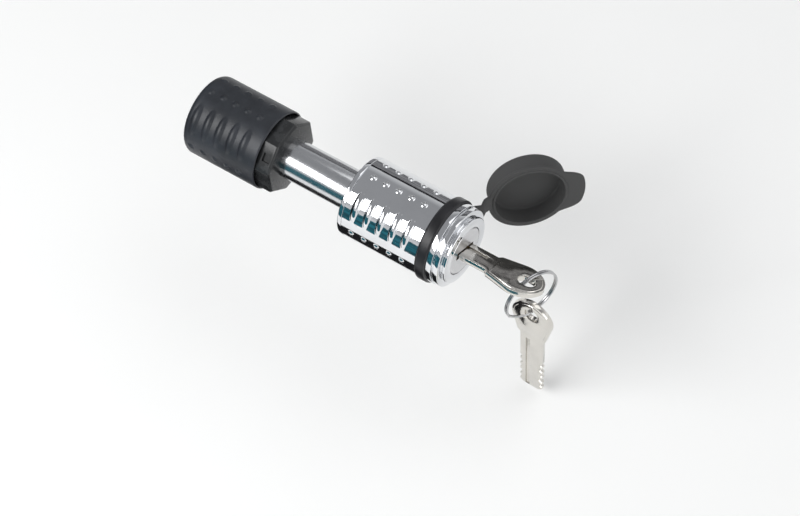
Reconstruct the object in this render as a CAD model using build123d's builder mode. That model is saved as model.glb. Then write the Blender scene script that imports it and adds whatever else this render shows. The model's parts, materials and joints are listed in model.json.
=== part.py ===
"""Trailer coupler lock: a 5/8 in pin between a fixed rubber-sleeved head and a keyed lock head.

Millimetres. +X runs along the pin from the fixed head to the keyed lock head, +Z is up.
The origin is on the pin's axis, in the middle of the exposed grip between the two heads.
The lock is drawn unlocked, with its key in and its dust cap hanging open on its strap.
"""
import os
from math import atan2, cos, radians, sin

from build123d import *

# ---- Driving dimensions ----
GRIP = 31.7              # exposed pin between the two heads
PIN_R = 7.9375           # 5/8 in pin
HEAD_R = 16.0            # both round heads, without their ribs
HEAD_LENGTH = 45.8       # keyed lock head, rear face to key face
SLEEVE_LENGTH = 33.5     # rubber sleeve on the fixed head
COLLAR_WIDTH = 6.2       # octagonal collar showing in front of the sleeve

# ---- Clearances ----
RUN = 0.08               # radial, pin and plug running fits
SLIP = 0.1               # per side, sliding pieces
SNUG = 0.02              # per side, pieces that are pressed or stretched in place
GAP = 0.2                # axial, between neighbouring pieces

# ---- Pin ----
PIN_SPIGOT_R = 7.0       # pressed into the fixed head
PIN_END_R = 7.75         # free end that enters the lock head
PIN_END_LENGTH = 14.9
PIN_TIP_CHAMFER = 1.4
LATCH_GROOVE_X = 9.5     # middle of the pin's locking groove, in front of the lock head's rear face
LATCH_GROOVE_WIDTH = 4.0
LATCH_GROOVE_R = 5.6

# ---- Fixed head ----
COLLAR_FLATS = 28.0      # across the octagon's flats
COLLAR_TURN = 25.0       # a collar corner, from -Y towards +Z
COLLAR_CHAMFER = 0.7
COLLAR_BURIED = 1.8      # length of collar inside the sleeve's mouth
COLLAR_MARK = 3.4        # square recess on one facet
COLLAR_MARK_ROUND, COLLAR_MARK_DEPTH = 0.7, 0.5
CORE_R = 13.9            # metal core inside the sleeve
CORE_LENGTH, CORE_EDGE = 26.3, 1.0
CORE_BEAD_X = 17.0       # retaining groove, behind the collar's buried end
CORE_BEAD_WIDTH = 2.4
CORE_BEAD_DEPTH = 0.8
SPIGOT_LENGTH = 25.0
CROSS_PIN_R = 2.0
CROSS_PIN_X = 20.3       # behind the collar's front face
SLEEVE_MOUTH_R = 15.3
SLEEVE_MOUTH_DEPTH = 3.0
SLEEVE_END = 3.0         # end wall
SLEEVE_FILLET = 3.0

# ---- Grip pattern on both heads ----
GRIP_UNITS = 2           # opposite each other
RIB_COUNT = 5
RIB_PITCH = 5.55
RIB_FIRST_X = 6.45       # first rib, in front of the lock head's rear face
SLEEVE_RIB_FIRST_X = 4.6 # first rib, from the sleeve's closed end
RIB_WIDTH = 3.0
RIB_HEIGHT = 1.0
RIB_HALF_ARC = 23.5      # degrees each side of a rib's middle
RIB_TAPER = 30.0
RIB_CENTRE = 50.0        # first unit's middle, from -Y towards +Z
DOT_R = 1.25
DOT_HEIGHT = 0.55
DOT_ROWS = (-75.0, -45.0, 45.0)          # degrees from the ribs' middle to each row of dots

# ---- Lock head ----
PLATE_WIDTH = 1.9        # rear plate
PLATE_SPIGOT = 2.0       # length of its spigot inside the housing
PLATE_SPIGOT_WALL = 0.8
EDGE = 0.25              # small edge chamfer
CHAMBER_R = 13.9         # rear chamber that holds the latch
CHAMBER_END = 19.8
FRONT_BORE_R = 9.7       # front bore that holds the key cylinder
BAND_START, BAND_END = 34.6, 38.9
BAND_SEAT_R = 14.7
BAND_R = 16.7
BAND_EDGE = 0.4
STRAP_ROOT_BACK = 2.2    # strap's root, behind the band's front edge
RING_A_END, RING_A_R = 41.2, 15.9
GROOVE_AB_END, GROOVE_AB_R = 42.0, 14.9
RING_B_END, RING_B_R = 43.9, 15.6
GROOVE_BC_END, GROOVE_BC_R = 44.7, 13.0
RIM_R, RIM_CHAMFER = 13.4, 0.4

# ---- Pin seal ----
SEAL_R = 9.35
SEAL_WIDTH = 1.7
SEAL_EDGE = 0.3

# ---- Latch ----
CARRIER_END = 15.3
BOLT_LIFT = 2.4          # bolt travel from released to locked
BOLT_NOSE_TOP = -5.8     # nose in the pin's groove when locked
BOLT_NOSE_HALF_WIDTH = 4.0
BOLT_NOSE_DEPTH = 3.0
BOLT_NOSE_LENGTH = 3.4
BOLT_RAIL_HALF_WIDTH = 3.0
BOLT_RAIL_DEPTH = 2.2
BOLT_PLATE_WIDTH = 1.3
PLATE_GAP = 0.3          # between the carrier and the bolt's tail plate
BOLT_PLATE_TOP = 3.0     # tail plate's top when locked
BOLT_PLATE_SHOULDER = -5.0
WINDOW_INNER, WINDOW_OUTER = 1.6, 4.8   # window across the bolt's tail, from the axis
WINDOW_TOP, WINDOW_BOTTOM = 1.4, -2.5   # window when locked
WINDOW_WALL = 1.5
EAR_TOP, EAR_BOTTOM = -0.9, -2.4        # spring ears when locked
EAR_INNER, EAR_OUTER = 6.7, 9.9
EAR_ROOM = 0.6           # outside each ear
SPRING_R = 1.5
SPRING_WIRE_R = 0.22
SPRING_TURNS = 4
SPRING_SEAT_Z = -8.4
SPRING_Y = 8.3
SEAT_WIDTH = 3.6

# ---- Key cylinder ----
SHELL_R = 9.6
SHELL_START, SHELL_END = 19.9, 44.2
SHELL_WALL = 1.1         # rear wall
PLUG_R = 6.5
PLUG_START = 21.2
PLUG_FACE_START = 44.4
PLUG_FACE_R = 9.5
ENTRY_ROOM = 0.5         # per side, the face's key entry outside the plug's keyway
TAIL_R = 3.1
TAIL_SQUARE = 4.3
CAM_START, CAM_END = 17.2, 18.9
CAM_R = 5.0
CAM_PIN_R = 1.2
CAM_PIN_OFFSET = 3.2
CLIP_START, CLIP_END = 19.0, 19.7
CLIP_R, CLIP_GROOVE_R = 4.6, 2.3
CLIP_MOUTH = 3.7         # narrower than the groove, so the clip snaps on
RETAINER_X = 36.75
RETAINER_R = 1.25
RETAINER_TIP = 8.3       # from the axis
O_RING_X = 31.0
O_RING_SECTION_R = 0.53
O_RING_GROOVE_R, O_RING_GROOVE_WIDTH = 8.6, 1.5
WAFER_COUNT = 5
WAFER_FIRST_X, WAFER_PITCH = 26.0, 3.6
WAFER_THICK = 1.2
WAFER_HALF_WIDTH = 3.2
WAFER_LUG_REACH, WAFER_LUG_HEIGHT = 4.8, 0.8
WAFER_LIFT = 1.1         # room for a wafer's lug to rise
WAFER_SPRING_X = 4.2     # spring axis, off the key's flat
WAFER_SPRING_LENGTH, WAFER_SPRING_R, WAFER_SPRING_WIRE_R = 2.4, 0.45, 0.1
WAFER_SPRING_TURNS = 3

# ---- Keys ----
KEY_ANGLE = -28.4        # key's width direction, from +Y towards +Z
KEY_THICK = 2.0
BLADE_HALF = 4.9
BLADE_IN_LOCK = 23.2
TIP_HALF, TIP_BEVEL = 3.4, 1.3
SHOULDER_X = 11.5        # bow starts, in front of the key face
SHOULDER_RUN = 1.2
BOW_SHOULDER_HALF = 6.2
BOW_WIDE_X, BOW_HALF = 21.0, 8.2
BOW_END = 33.5
BOW_CORNER_BACK, BOW_CORNER_HALF = 0.30, 0.66   # middle of each end arc, as shares of BOW_HALF
HOLE_START, HOLE_END = 23.0, 30.0
HOLE_HALF = 2.6
CUT_DEPTHS = (0.9, 1.5, 0.6, 1.2, 0.8)   # notches, the same along both edges of the blade
CUT_FLAT = 1.1
CUT_SLOPE = 0.7          # a notch side's run for each unit of depth
KEY_GROOVE_WIDTH, KEY_GROOVE_DEPTH = 1.7, 0.7
KEY_GROOVE_OFFSET = 1.5
KEY_GROOVE_END = 9.0

# ---- Key ring, hung from the working key's hole, and the spare key on it ----
RING_R = 11.2            # mean radius of the two coils
RING_WIRE_WIDE = 0.9     # each coil, along the ring's axis
RING_WIRE_THICK = 1.0    # radial
RING_WIRE_FILLET = 0.35
RING_CENTRE = (72.5, 1.93, -10.81)       # from the lock head's rear face, on the axis
RING_NORMAL = (0.937, -0.347, 0.024)
SPARE_LEAN = -5.0        # degrees the spare key hangs off plumb, in the ring's plane
SPARE_TWIST = 19.0       # degrees it is turned on the wire, about its own length
HANG_GAP = 0.65          # lets the spare key swing on the ring's wire

# ---- Dust cap and its strap ----
STRAP_ANGLE = -12.8      # strap's direction from the axis, from +Y towards +Z
CAP_OPEN = 137.4         # degrees the cap stands open
PIVOT_X, PIVOT_R = 40.5, 19.4
CAP_CLOSED_X = 44.0
FLANGE_R, FLANGE_THICK = 16.0, 1.2
CAP_R, CAP_DEPTH = 15.0, 8.6
CAP_MOUTH_R = 13.5
CAP_WALL = 2.0           # closed end
CAP_FILLET = 1.6
TAB_REACH, TAB_HALF, TAB_ROUND = 21.3, 9.2, 4.6
STRAP_WIDTH, STRAP_THICK = 7.0, 1.6
STRAP_BEAD_R = 1.0
STRAP_GAP = 0.3
STRAP_BURIED = 1.0       # depth of its ends inside the band and the flange

# ---- Derived places ----
HEAD_X = GRIP / 2        # lock head's rear face
COLLAR_X = -GRIP / 2     # fixed collar's front face
SLEEVE_MOUTH_X = COLLAR_X - COLLAR_WIDTH
SLEEVE_END_X = SLEEVE_MOUTH_X - SLEEVE_LENGTH
RIB_TOP_R = HEAD_R + RIB_HEIGHT
RIB_OFFSET = (RIB_TOP_R**2 - HEAD_R**2) / (2 * (RIB_TOP_R - HEAD_R * cos(radians(RIB_HALF_ARC))))
RIB_DISC_R = RIB_TOP_R - RIB_OFFSET
DOT_SPHERE_R = (DOT_R**2 + DOT_HEIGHT**2) / (2 * DOT_HEIGHT)
DOT_SPHERE_OFFSET = HEAD_R + DOT_HEIGHT - DOT_SPHERE_R
PIN_BORE_R = PIN_END_R + RUN
PLUG_BORE_R = PLUG_R + RUN
SLOT_HALF = BLADE_HALF + 1.5 * SLIP
SLOT_HALF_THICK = KEY_THICK / 2 + SLIP


def head(distance):
    """X of a place this far in front of the lock head's rear face."""
    return HEAD_X + distance


def turned(*points):
    """Face from (x, radius) points, to be revolved about the pin's axis."""
    with BuildSketch(Plane.XY) as face:
        with BuildLine():
            Polyline(*points, close=True)
        make_face()
    return face.sketch


def across(angle):
    """Unit vector square to the axis, at this angle from +Y towards +Z."""
    return Vector(0, cos(radians(angle)), sin(radians(angle)))


def grip_pattern(first_x):
    """Ribs and dots of the grip: off-centre discs and spheres that stand proud of a head."""
    middle = 180 - RIB_CENTRE
    with BuildPart() as pattern:
        for step in range(RIB_COUNT):
            x = first_x + step * RIB_PITCH
            for unit in range(GRIP_UNITS):
                toward = middle + 360 / GRIP_UNITS * unit
                disc = across(toward) * RIB_OFFSET
                with BuildSketch(Plane.YZ.offset(x)):
                    with Locations((disc.Y, disc.Z)):
                        Circle(RIB_DISC_R)
                extrude(amount=RIB_WIDTH / 2, both=True, taper=RIB_TAPER)
                for row in DOT_ROWS:
                    spot = across(toward + row) * DOT_SPHERE_OFFSET
                    with Locations((x, spot.Y, spot.Z)):
                        Sphere(DOT_SPHERE_R)
    return pattern.part


def coil(start, height, radius, wire_r, turns, direction=(0, 0, 1)):
    """Helical compression spring that stands on start and runs along direction."""
    with BuildPart() as spring:
        with BuildLine():
            helix = Helix(pitch=height / turns, height=height, radius=radius, center=start,
                          direction=direction)
        with BuildSketch(Plane(origin=helix @ 0, z_dir=helix % 0)):
            Circle(wire_r)
        sweep(is_frenet=True)
    return spring.part


def blade_edge(side):
    """Outline points along one edge of the blade, tip to shoulder, with a notch per wafer."""
    points = [(-BLADE_IN_LOCK, side * TIP_HALF), (TIP_BEVEL - BLADE_IN_LOCK, side * BLADE_HALF)]
    for step, depth in enumerate(CUT_DEPTHS):
        middle = WAFER_FIRST_X + step * WAFER_PITCH - HEAD_LENGTH
        cut_end = CUT_FLAT / 2 + depth * CUT_SLOPE
        for offset, drop in ((-cut_end, 0), (-CUT_FLAT / 2, depth), (CUT_FLAT / 2, depth), (cut_end, 0)):
            points.append((middle + offset, side * (BLADE_HALF - drop)))
    return points + [(SHOULDER_X, side * BLADE_HALF),
                     (SHOULDER_X + SHOULDER_RUN, side * BOW_SHOULDER_HALF)]


def key_on(plane):
    """A double-sided key on a plane: X from the key face out to the bow, Y across the blade."""
    upper, lower = blade_edge(1), blade_edge(-1)
    corner_x, corner_half = BOW_END - BOW_HALF * BOW_CORNER_BACK, BOW_HALF * BOW_CORNER_HALF
    with BuildPart() as key:
        with BuildSketch(plane):
            with BuildLine():
                Polyline(*upper)
                Line(upper[-1], (BOW_WIDE_X, BOW_HALF))
                ThreePointArc((BOW_WIDE_X, BOW_HALF), (corner_x, corner_half), (BOW_END, 0))
                ThreePointArc((BOW_END, 0), (corner_x, -corner_half), (BOW_WIDE_X, -BOW_HALF))
                Line((BOW_WIDE_X, -BOW_HALF), lower[-1])
                Polyline(*lower[::-1])
                Line(lower[0], upper[0])
            make_face()
            with Locations(((HOLE_START + HOLE_END) / 2, 0)):
                SlotOverall(HOLE_END - HOLE_START, 2 * HOLE_HALF, mode=Mode.SUBTRACT)
        extrude(amount=KEY_THICK / 2, both=True)
        for side in (-1, 1):
            length = BLADE_IN_LOCK + KEY_GROOVE_END
            with BuildSketch(plane.offset(side * KEY_THICK / 2)):
                with Locations((KEY_GROOVE_END - length / 2, side * KEY_GROOVE_OFFSET)):
                    Rectangle(length, KEY_GROOVE_WIDTH)
            extrude(amount=-side * KEY_GROOVE_DEPTH, mode=Mode.SUBTRACT)
    return key.part


def keyway(plane, depth):
    """The key's slot with its two wards, cut from a plane across the axis along +X."""
    ward_high = KEY_GROOVE_DEPTH - SLIP
    with BuildPart() as slot:
        with BuildSketch(plane):
            Rectangle(2 * SLOT_HALF, 2 * SLOT_HALF_THICK)
            for side in (-1, 1):
                with Locations((side * KEY_GROOVE_OFFSET, side * (SLOT_HALF_THICK - ward_high / 2))):
                    Rectangle(KEY_GROOVE_WIDTH - 2 * SLIP, ward_high, mode=Mode.SUBTRACT)
        extrude(amount=depth)
    return slot.part


def key_section(x):
    """Plane across the axis at x, with its own X along the key's width."""
    return Plane(origin=(x, 0, 0), x_dir=across(KEY_ANGLE), z_dir=(1, 0, 0))


# ==== Fixed head ====
with BuildPart() as locking_pin:
    groove_start = head(LATCH_GROOVE_X - LATCH_GROOVE_WIDTH / 2)
    groove_end = groove_start + LATCH_GROOVE_WIDTH
    pin_tip = head(PIN_END_LENGTH)
    shank_end = head(-SLIP)
    revolve(turned((COLLAR_X - SPIGOT_LENGTH, 0), (COLLAR_X - SPIGOT_LENGTH, PIN_SPIGOT_R),
                   (COLLAR_X, PIN_SPIGOT_R), (COLLAR_X, PIN_R), (shank_end, PIN_R),
                   (shank_end, PIN_END_R), (groove_start, PIN_END_R), (groove_start, LATCH_GROOVE_R),
                   (groove_end, LATCH_GROOVE_R), (groove_end, PIN_END_R),
                   (pin_tip - PIN_TIP_CHAMFER, PIN_END_R), (pin_tip, PIN_END_R - PIN_TIP_CHAMFER),
                   (pin_tip, 0)), axis=Axis.X)
    cross_hole = Plane(origin=(COLLAR_X - CROSS_PIN_X, 0, 0), z_dir=(0, 0, 1))
    with BuildSketch(cross_hole):
        Circle(CROSS_PIN_R)
    extrude(amount=HEAD_R, both=True, mode=Mode.SUBTRACT)

with BuildPart() as fixed_head:
    collar_length = COLLAR_WIDTH + COLLAR_BURIED
    core_end = COLLAR_X - collar_length - CORE_LENGTH
    bead_x = COLLAR_X - collar_length - CORE_BEAD_X
    with BuildSketch(Plane.YZ.offset(COLLAR_X)):
        RegularPolygon(COLLAR_FLATS / 2, 8, major_radius=False, rotation=180 - COLLAR_TURN)
    extrude(amount=-collar_length)
    chamfer(faces().sort_by(Axis.X)[-1].edges(), COLLAR_CHAMFER)
    revolve(turned((COLLAR_X - collar_length, 0), (COLLAR_X - collar_length, CORE_R),
                   (bead_x, CORE_R), (bead_x, CORE_R - CORE_BEAD_DEPTH),
                   (bead_x - CORE_BEAD_WIDTH, CORE_R - CORE_BEAD_DEPTH),
                   (bead_x - CORE_BEAD_WIDTH, CORE_R), (core_end + CORE_EDGE, CORE_R),
                   (core_end, CORE_R - CORE_EDGE), (core_end, 0)), axis=Axis.X)
    with BuildSketch(Plane.YZ.offset(COLLAR_X)):
        Circle(PIN_SPIGOT_R)
    extrude(amount=-SPIGOT_LENGTH - GAP, mode=Mode.SUBTRACT)
    with BuildSketch(cross_hole):
        Circle(CROSS_PIN_R)
    extrude(amount=HEAD_R, both=True, mode=Mode.SUBTRACT)
    facet = 180 - COLLAR_TURN - 22.5
    mark_plane = Plane(origin=Vector(COLLAR_X - COLLAR_WIDTH / 2, 0, 0) + across(facet) * COLLAR_FLATS / 2,
                       x_dir=(1, 0, 0), z_dir=across(facet))
    with BuildSketch(mark_plane):
        RectangleRounded(COLLAR_MARK, COLLAR_MARK, COLLAR_MARK_ROUND)
    extrude(amount=-COLLAR_MARK_DEPTH, mode=Mode.SUBTRACT)

with BuildPart() as head_cross_pin:
    with BuildSketch(cross_hole):
        Circle(CROSS_PIN_R)
    extrude(amount=CORE_R - 2 * GAP, both=True)

with BuildPart() as grip_sleeve:
    sleeve_bore_r = CORE_R + SNUG
    revolve(turned((SLEEVE_END_X, 0), (SLEEVE_END_X, HEAD_R), (SLEEVE_MOUTH_X, HEAD_R),
                   (SLEEVE_MOUTH_X, 0)), axis=Axis.X)
    fillet(edges().filter_by(GeomType.CIRCLE).sort_by(Axis.X)[0], SLEEVE_FILLET)
    add(grip_pattern(SLEEVE_END_X + SLEEVE_RIB_FIRST_X))
    mouth_end = SLEEVE_MOUTH_X - SLEEVE_MOUTH_DEPTH
    revolve(turned((SLEEVE_END_X + SLEEVE_END, 0), (SLEEVE_END_X + SLEEVE_END, sleeve_bore_r),
                   (bead_x - CORE_BEAD_WIDTH + SLIP, sleeve_bore_r),
                   (bead_x - CORE_BEAD_WIDTH + SLIP, sleeve_bore_r - CORE_BEAD_DEPTH),
                   (bead_x - SLIP, sleeve_bore_r - CORE_BEAD_DEPTH), (bead_x - SLIP, sleeve_bore_r),
                   (mouth_end, sleeve_bore_r), (mouth_end, SLEEVE_MOUTH_R),
                   (SLEEVE_MOUTH_X, SLEEVE_MOUTH_R), (SLEEVE_MOUTH_X, 0)), axis=Axis.X,
            mode=Mode.SUBTRACT)

# ==== Lock head: housing, rear plate, seal, band ====
with BuildPart() as lock_housing:
    revolve(turned((head(PLATE_WIDTH), 0), (head(PLATE_WIDTH), HEAD_R - EDGE),
                   (head(PLATE_WIDTH + EDGE), HEAD_R), (head(BAND_START), HEAD_R),
                   (head(BAND_START), BAND_SEAT_R), (head(BAND_END), BAND_SEAT_R),
                   (head(BAND_END), RING_A_R), (head(RING_A_END), RING_A_R),
                   (head(RING_A_END), GROOVE_AB_R), (head(GROOVE_AB_END), GROOVE_AB_R),
                   (head(GROOVE_AB_END), RING_B_R), (head(RING_B_END), RING_B_R),
                   (head(RING_B_END), GROOVE_BC_R), (head(GROOVE_BC_END), GROOVE_BC_R),
                   (head(GROOVE_BC_END), RIM_R), (head(HEAD_LENGTH - RIM_CHAMFER), RIM_R),
                   (head(HEAD_LENGTH), RIM_R - RIM_CHAMFER), (head(HEAD_LENGTH), 0)), axis=Axis.X)
    add(grip_pattern(head(RIB_FIRST_X)))
    revolve(turned((head(PLATE_WIDTH), 0), (head(PLATE_WIDTH), CHAMBER_R),
                   (head(CHAMBER_END), CHAMBER_R), (head(CHAMBER_END), FRONT_BORE_R),
                   (head(HEAD_LENGTH), FRONT_BORE_R), (head(HEAD_LENGTH), 0)), axis=Axis.X,
            mode=Mode.SUBTRACT)
    retainer_plane = Plane(origin=(head(RETAINER_X), 0, 0), z_dir=(0, -1, 0))
    with BuildSketch(retainer_plane.offset(RETAINER_TIP)):
        Circle(RETAINER_R)
    extrude(amount=HEAD_R, mode=Mode.SUBTRACT)

with BuildPart() as rear_plate:
    spigot_r = CHAMBER_R - SNUG
    spigot_end = head(PLATE_WIDTH + PLATE_SPIGOT)
    revolve(turned((head(0), PIN_BORE_R), (head(0), HEAD_R - 2 * EDGE), (head(2 * EDGE), HEAD_R),
                   (head(PLATE_WIDTH - EDGE), HEAD_R), (head(PLATE_WIDTH), HEAD_R - EDGE),
                   (head(PLATE_WIDTH), spigot_r), (spigot_end, spigot_r),
                   (spigot_end, spigot_r - PLATE_SPIGOT_WALL),
                   (head(PLATE_WIDTH), spigot_r - PLATE_SPIGOT_WALL), (head(PLATE_WIDTH), PIN_BORE_R)),
            axis=Axis.X)

with BuildPart() as pin_seal:
    seal_start = head(PLATE_WIDTH + SLIP)
    revolve(turned((seal_start, PIN_BORE_R - RUN / 2), (seal_start, SEAL_R - SEAL_EDGE),
                   (seal_start + SEAL_EDGE, SEAL_R),
                   (seal_start + SEAL_WIDTH - SEAL_EDGE, SEAL_R),
                   (seal_start + SEAL_WIDTH, SEAL_R - SEAL_EDGE),
                   (seal_start + SEAL_WIDTH, PIN_BORE_R - RUN / 2)), axis=Axis.X)

with BuildPart() as cap_band:
    revolve(turned((head(BAND_START), BAND_SEAT_R), (head(BAND_START), BAND_R - BAND_EDGE),
                   (head(BAND_START + BAND_EDGE), BAND_R), (head(BAND_END - BAND_EDGE), BAND_R),
                   (head(BAND_END), BAND_R - BAND_EDGE), (head(BAND_END), BAND_SEAT_R)), axis=Axis.X)
    strap_dir = across(STRAP_ANGLE)
    hinge_axis = Vector(1, 0, 0).cross(strap_dir)
    strap_plane = Plane(origin=(0, 0, 0), x_dir=(1, 0, 0), z_dir=hinge_axis)
    root_x, root_r = head(BAND_END - STRAP_ROOT_BACK), BAND_R - STRAP_BURIED
    lean = atan2(PIVOT_R - root_r, head(PIVOT_X) - root_x)
    side_x, side_r = sin(lean) * STRAP_THICK / 2, cos(lean) * STRAP_THICK / 2
    with BuildSketch(strap_plane):
        with BuildLine():
            Polyline((root_x + side_x, root_r - side_r), (head(PIVOT_X) + side_x, PIVOT_R - side_r),
                     (head(PIVOT_X) - side_x, PIVOT_R + side_r), (root_x - side_x, root_r + side_r),
                     close=True)
        make_face()
        with Locations((head(PIVOT_X), PIVOT_R)):
            Circle(STRAP_BEAD_R + STRAP_GAP, mode=Mode.SUBTRACT)
    extrude(amount=STRAP_WIDTH / 2, both=True)

# ==== Latch ====
released = -BOLT_LIFT
nose_top = BOLT_NOSE_TOP + released
nose_bottom = nose_top - BOLT_NOSE_DEPTH
rail_bottom = nose_bottom - BOLT_RAIL_DEPTH
nose_start = head(LATCH_GROOVE_X - BOLT_NOSE_LENGTH / 2)
plate_start = head(CARRIER_END + PLATE_GAP)
plate_end = plate_start + BOLT_PLATE_WIDTH

with BuildPart() as latch_carrier:
    carrier_r = CHAMBER_R - GAP
    spigot_relief = spigot_r - PLATE_SPIGOT_WALL - SNUG
    seal_seat_r = SEAL_R + SLIP / 2
    revolve(turned((head(PLATE_WIDTH), seal_seat_r), (head(PLATE_WIDTH), spigot_relief),
                   (spigot_end + SLIP, spigot_relief), (spigot_end + SLIP, carrier_r),
                   (head(CARRIER_END), carrier_r), (head(CARRIER_END), PIN_BORE_R),
                   (seal_start + SEAL_WIDTH + SLIP, PIN_BORE_R),
                   (seal_start + SEAL_WIDTH + SLIP, seal_seat_r)), axis=Axis.X)
    with BuildSketch(Plane.YZ.offset(head(CARRIER_END))):
        Circle(carrier_r)
        with Locations((0, SPRING_SEAT_Z + HEAD_R)):
            Rectangle(2 * HEAD_R, 2 * HEAD_R, mode=Mode.SUBTRACT)
        Rectangle(2 * (EAR_INNER - SLIP), 2 * HEAD_R, mode=Mode.SUBTRACT)
        for side in (-1, 1):
            with Locations((side * (EAR_OUTER + EAR_ROOM + HEAD_R), 0)):
                Rectangle(2 * HEAD_R, 2 * HEAD_R, mode=Mode.SUBTRACT)
    extrude(amount=SEAT_WIDTH)
    with BuildSketch(Plane.YZ.offset(nose_start - SLIP)):
        with Locations((0, nose_bottom / 2 - GAP / 2)):
            Rectangle(2 * (BOLT_NOSE_HALF_WIDTH + SLIP), -nose_bottom + GAP)
    extrude(amount=BOLT_NOSE_LENGTH + 2 * SLIP, mode=Mode.SUBTRACT)
    with BuildSketch(Plane.YZ.offset(nose_start - SLIP)):
        with Locations((0, (BOLT_NOSE_TOP - BOLT_NOSE_DEPTH + GAP - HEAD_R) / 2)):
            Rectangle(2 * (BOLT_RAIL_HALF_WIDTH + SLIP), HEAD_R + BOLT_NOSE_TOP - BOLT_NOSE_DEPTH + GAP)
    extrude(until=Until.LAST, mode=Mode.SUBTRACT)

with BuildPart() as locking_bolt:
    with BuildSketch(Plane.YZ.offset(nose_start)):
        with Locations((0, (nose_top + nose_bottom) / 2)):
            Rectangle(2 * BOLT_NOSE_HALF_WIDTH, BOLT_NOSE_DEPTH)
    extrude(amount=BOLT_NOSE_LENGTH)
    with BuildSketch(Plane.YZ.offset(nose_start)):
        with Locations((0, (nose_bottom + rail_bottom) / 2)):
            Rectangle(2 * BOLT_RAIL_HALF_WIDTH, BOLT_RAIL_DEPTH)
    extrude(amount=plate_end - nose_start)
    window_left, window_right = -WINDOW_OUTER, WINDOW_INNER
    with BuildSketch(Plane.YZ.offset(plate_start)):
        plate_top = BOLT_PLATE_TOP + released
        shoulder_z = BOLT_PLATE_SHOULDER + released
        with Locations(((window_left + window_right) / 2, (plate_top + shoulder_z) / 2)):
            Rectangle(window_right - window_left + 2 * WINDOW_WALL, plate_top - shoulder_z)
        with Locations((0, (shoulder_z + rail_bottom) / 2)):
            Rectangle(2 * BOLT_RAIL_HALF_WIDTH, shoulder_z - rail_bottom)
        with Locations((0, (EAR_TOP + EAR_BOTTOM) / 2 + released)):
            Rectangle(2 * EAR_OUTER, EAR_TOP - EAR_BOTTOM)
        with Locations(((window_left + window_right) / 2, (WINDOW_TOP + WINDOW_BOTTOM) / 2 + released)):
            Rectangle(window_right - window_left, WINDOW_TOP - WINDOW_BOTTOM, mode=Mode.SUBTRACT)
    extrude(amount=BOLT_PLATE_WIDTH)
    ear_length = head(CARRIER_END) + SEAT_WIDTH - plate_start
    with BuildSketch(Plane.YZ.offset(plate_start)):
        for side in (-1, 1):
            with Locations((side * (EAR_INNER + EAR_OUTER) / 2, (EAR_TOP + EAR_BOTTOM) / 2 + released)):
                Rectangle(EAR_OUTER - EAR_INNER, EAR_TOP - EAR_BOTTOM)
    extrude(amount=ear_length)

with BuildPart() as bolt_springs:
    spring_x = head(CARRIER_END) + SEAT_WIDTH / 2
    coil_r = SPRING_R - SPRING_WIRE_R
    spring_foot = SPRING_SEAT_Z + SPRING_WIRE_R + SNUG
    spring_height = EAR_BOTTOM + released - SPRING_SEAT_Z - 2 * (SPRING_WIRE_R + SNUG)
    for side in (-1, 1):
        add(coil((spring_x, side * SPRING_Y, spring_foot), spring_height, coil_r, SPRING_WIRE_R,
                 SPRING_TURNS))

# ==== Key cylinder ====
with BuildPart() as cylinder_shell:
    tail_hole_r = TAIL_R + RUN
    o_ring_start = head(O_RING_X - O_RING_GROOVE_WIDTH / 2)
    o_ring_end = o_ring_start + O_RING_GROOVE_WIDTH
    revolve(turned((head(SHELL_START), tail_hole_r), (head(SHELL_START), SHELL_R),
                   (o_ring_start, SHELL_R), (o_ring_start, O_RING_GROOVE_R),
                   (o_ring_end, O_RING_GROOVE_R), (o_ring_end, SHELL_R), (head(SHELL_END), SHELL_R),
                   (head(SHELL_END), PLUG_BORE_R), (head(SHELL_START + SHELL_WALL), PLUG_BORE_R),
                   (head(SHELL_START + SHELL_WALL), tail_hole_r)), axis=Axis.X)
    with BuildSketch(retainer_plane.offset(RETAINER_TIP - SLIP)):
        Circle(RETAINER_R)
    extrude(amount=HEAD_R, mode=Mode.SUBTRACT)

with BuildPart() as shell_retaining_pin:
    with BuildSketch(retainer_plane.offset(RETAINER_TIP)):
        Circle(RETAINER_R)
    extrude(amount=BAND_SEAT_R - 1.5 * GAP - RETAINER_TIP)

with BuildPart() as cylinder_o_ring:
    o_ring_centre_r = (O_RING_GROOVE_R + FRONT_BORE_R) / 2
    with BuildSketch(Plane.XY):
        with Locations((head(O_RING_X), o_ring_centre_r)):
            Circle(O_RING_SECTION_R)
    revolve(axis=Axis.X)

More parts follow.
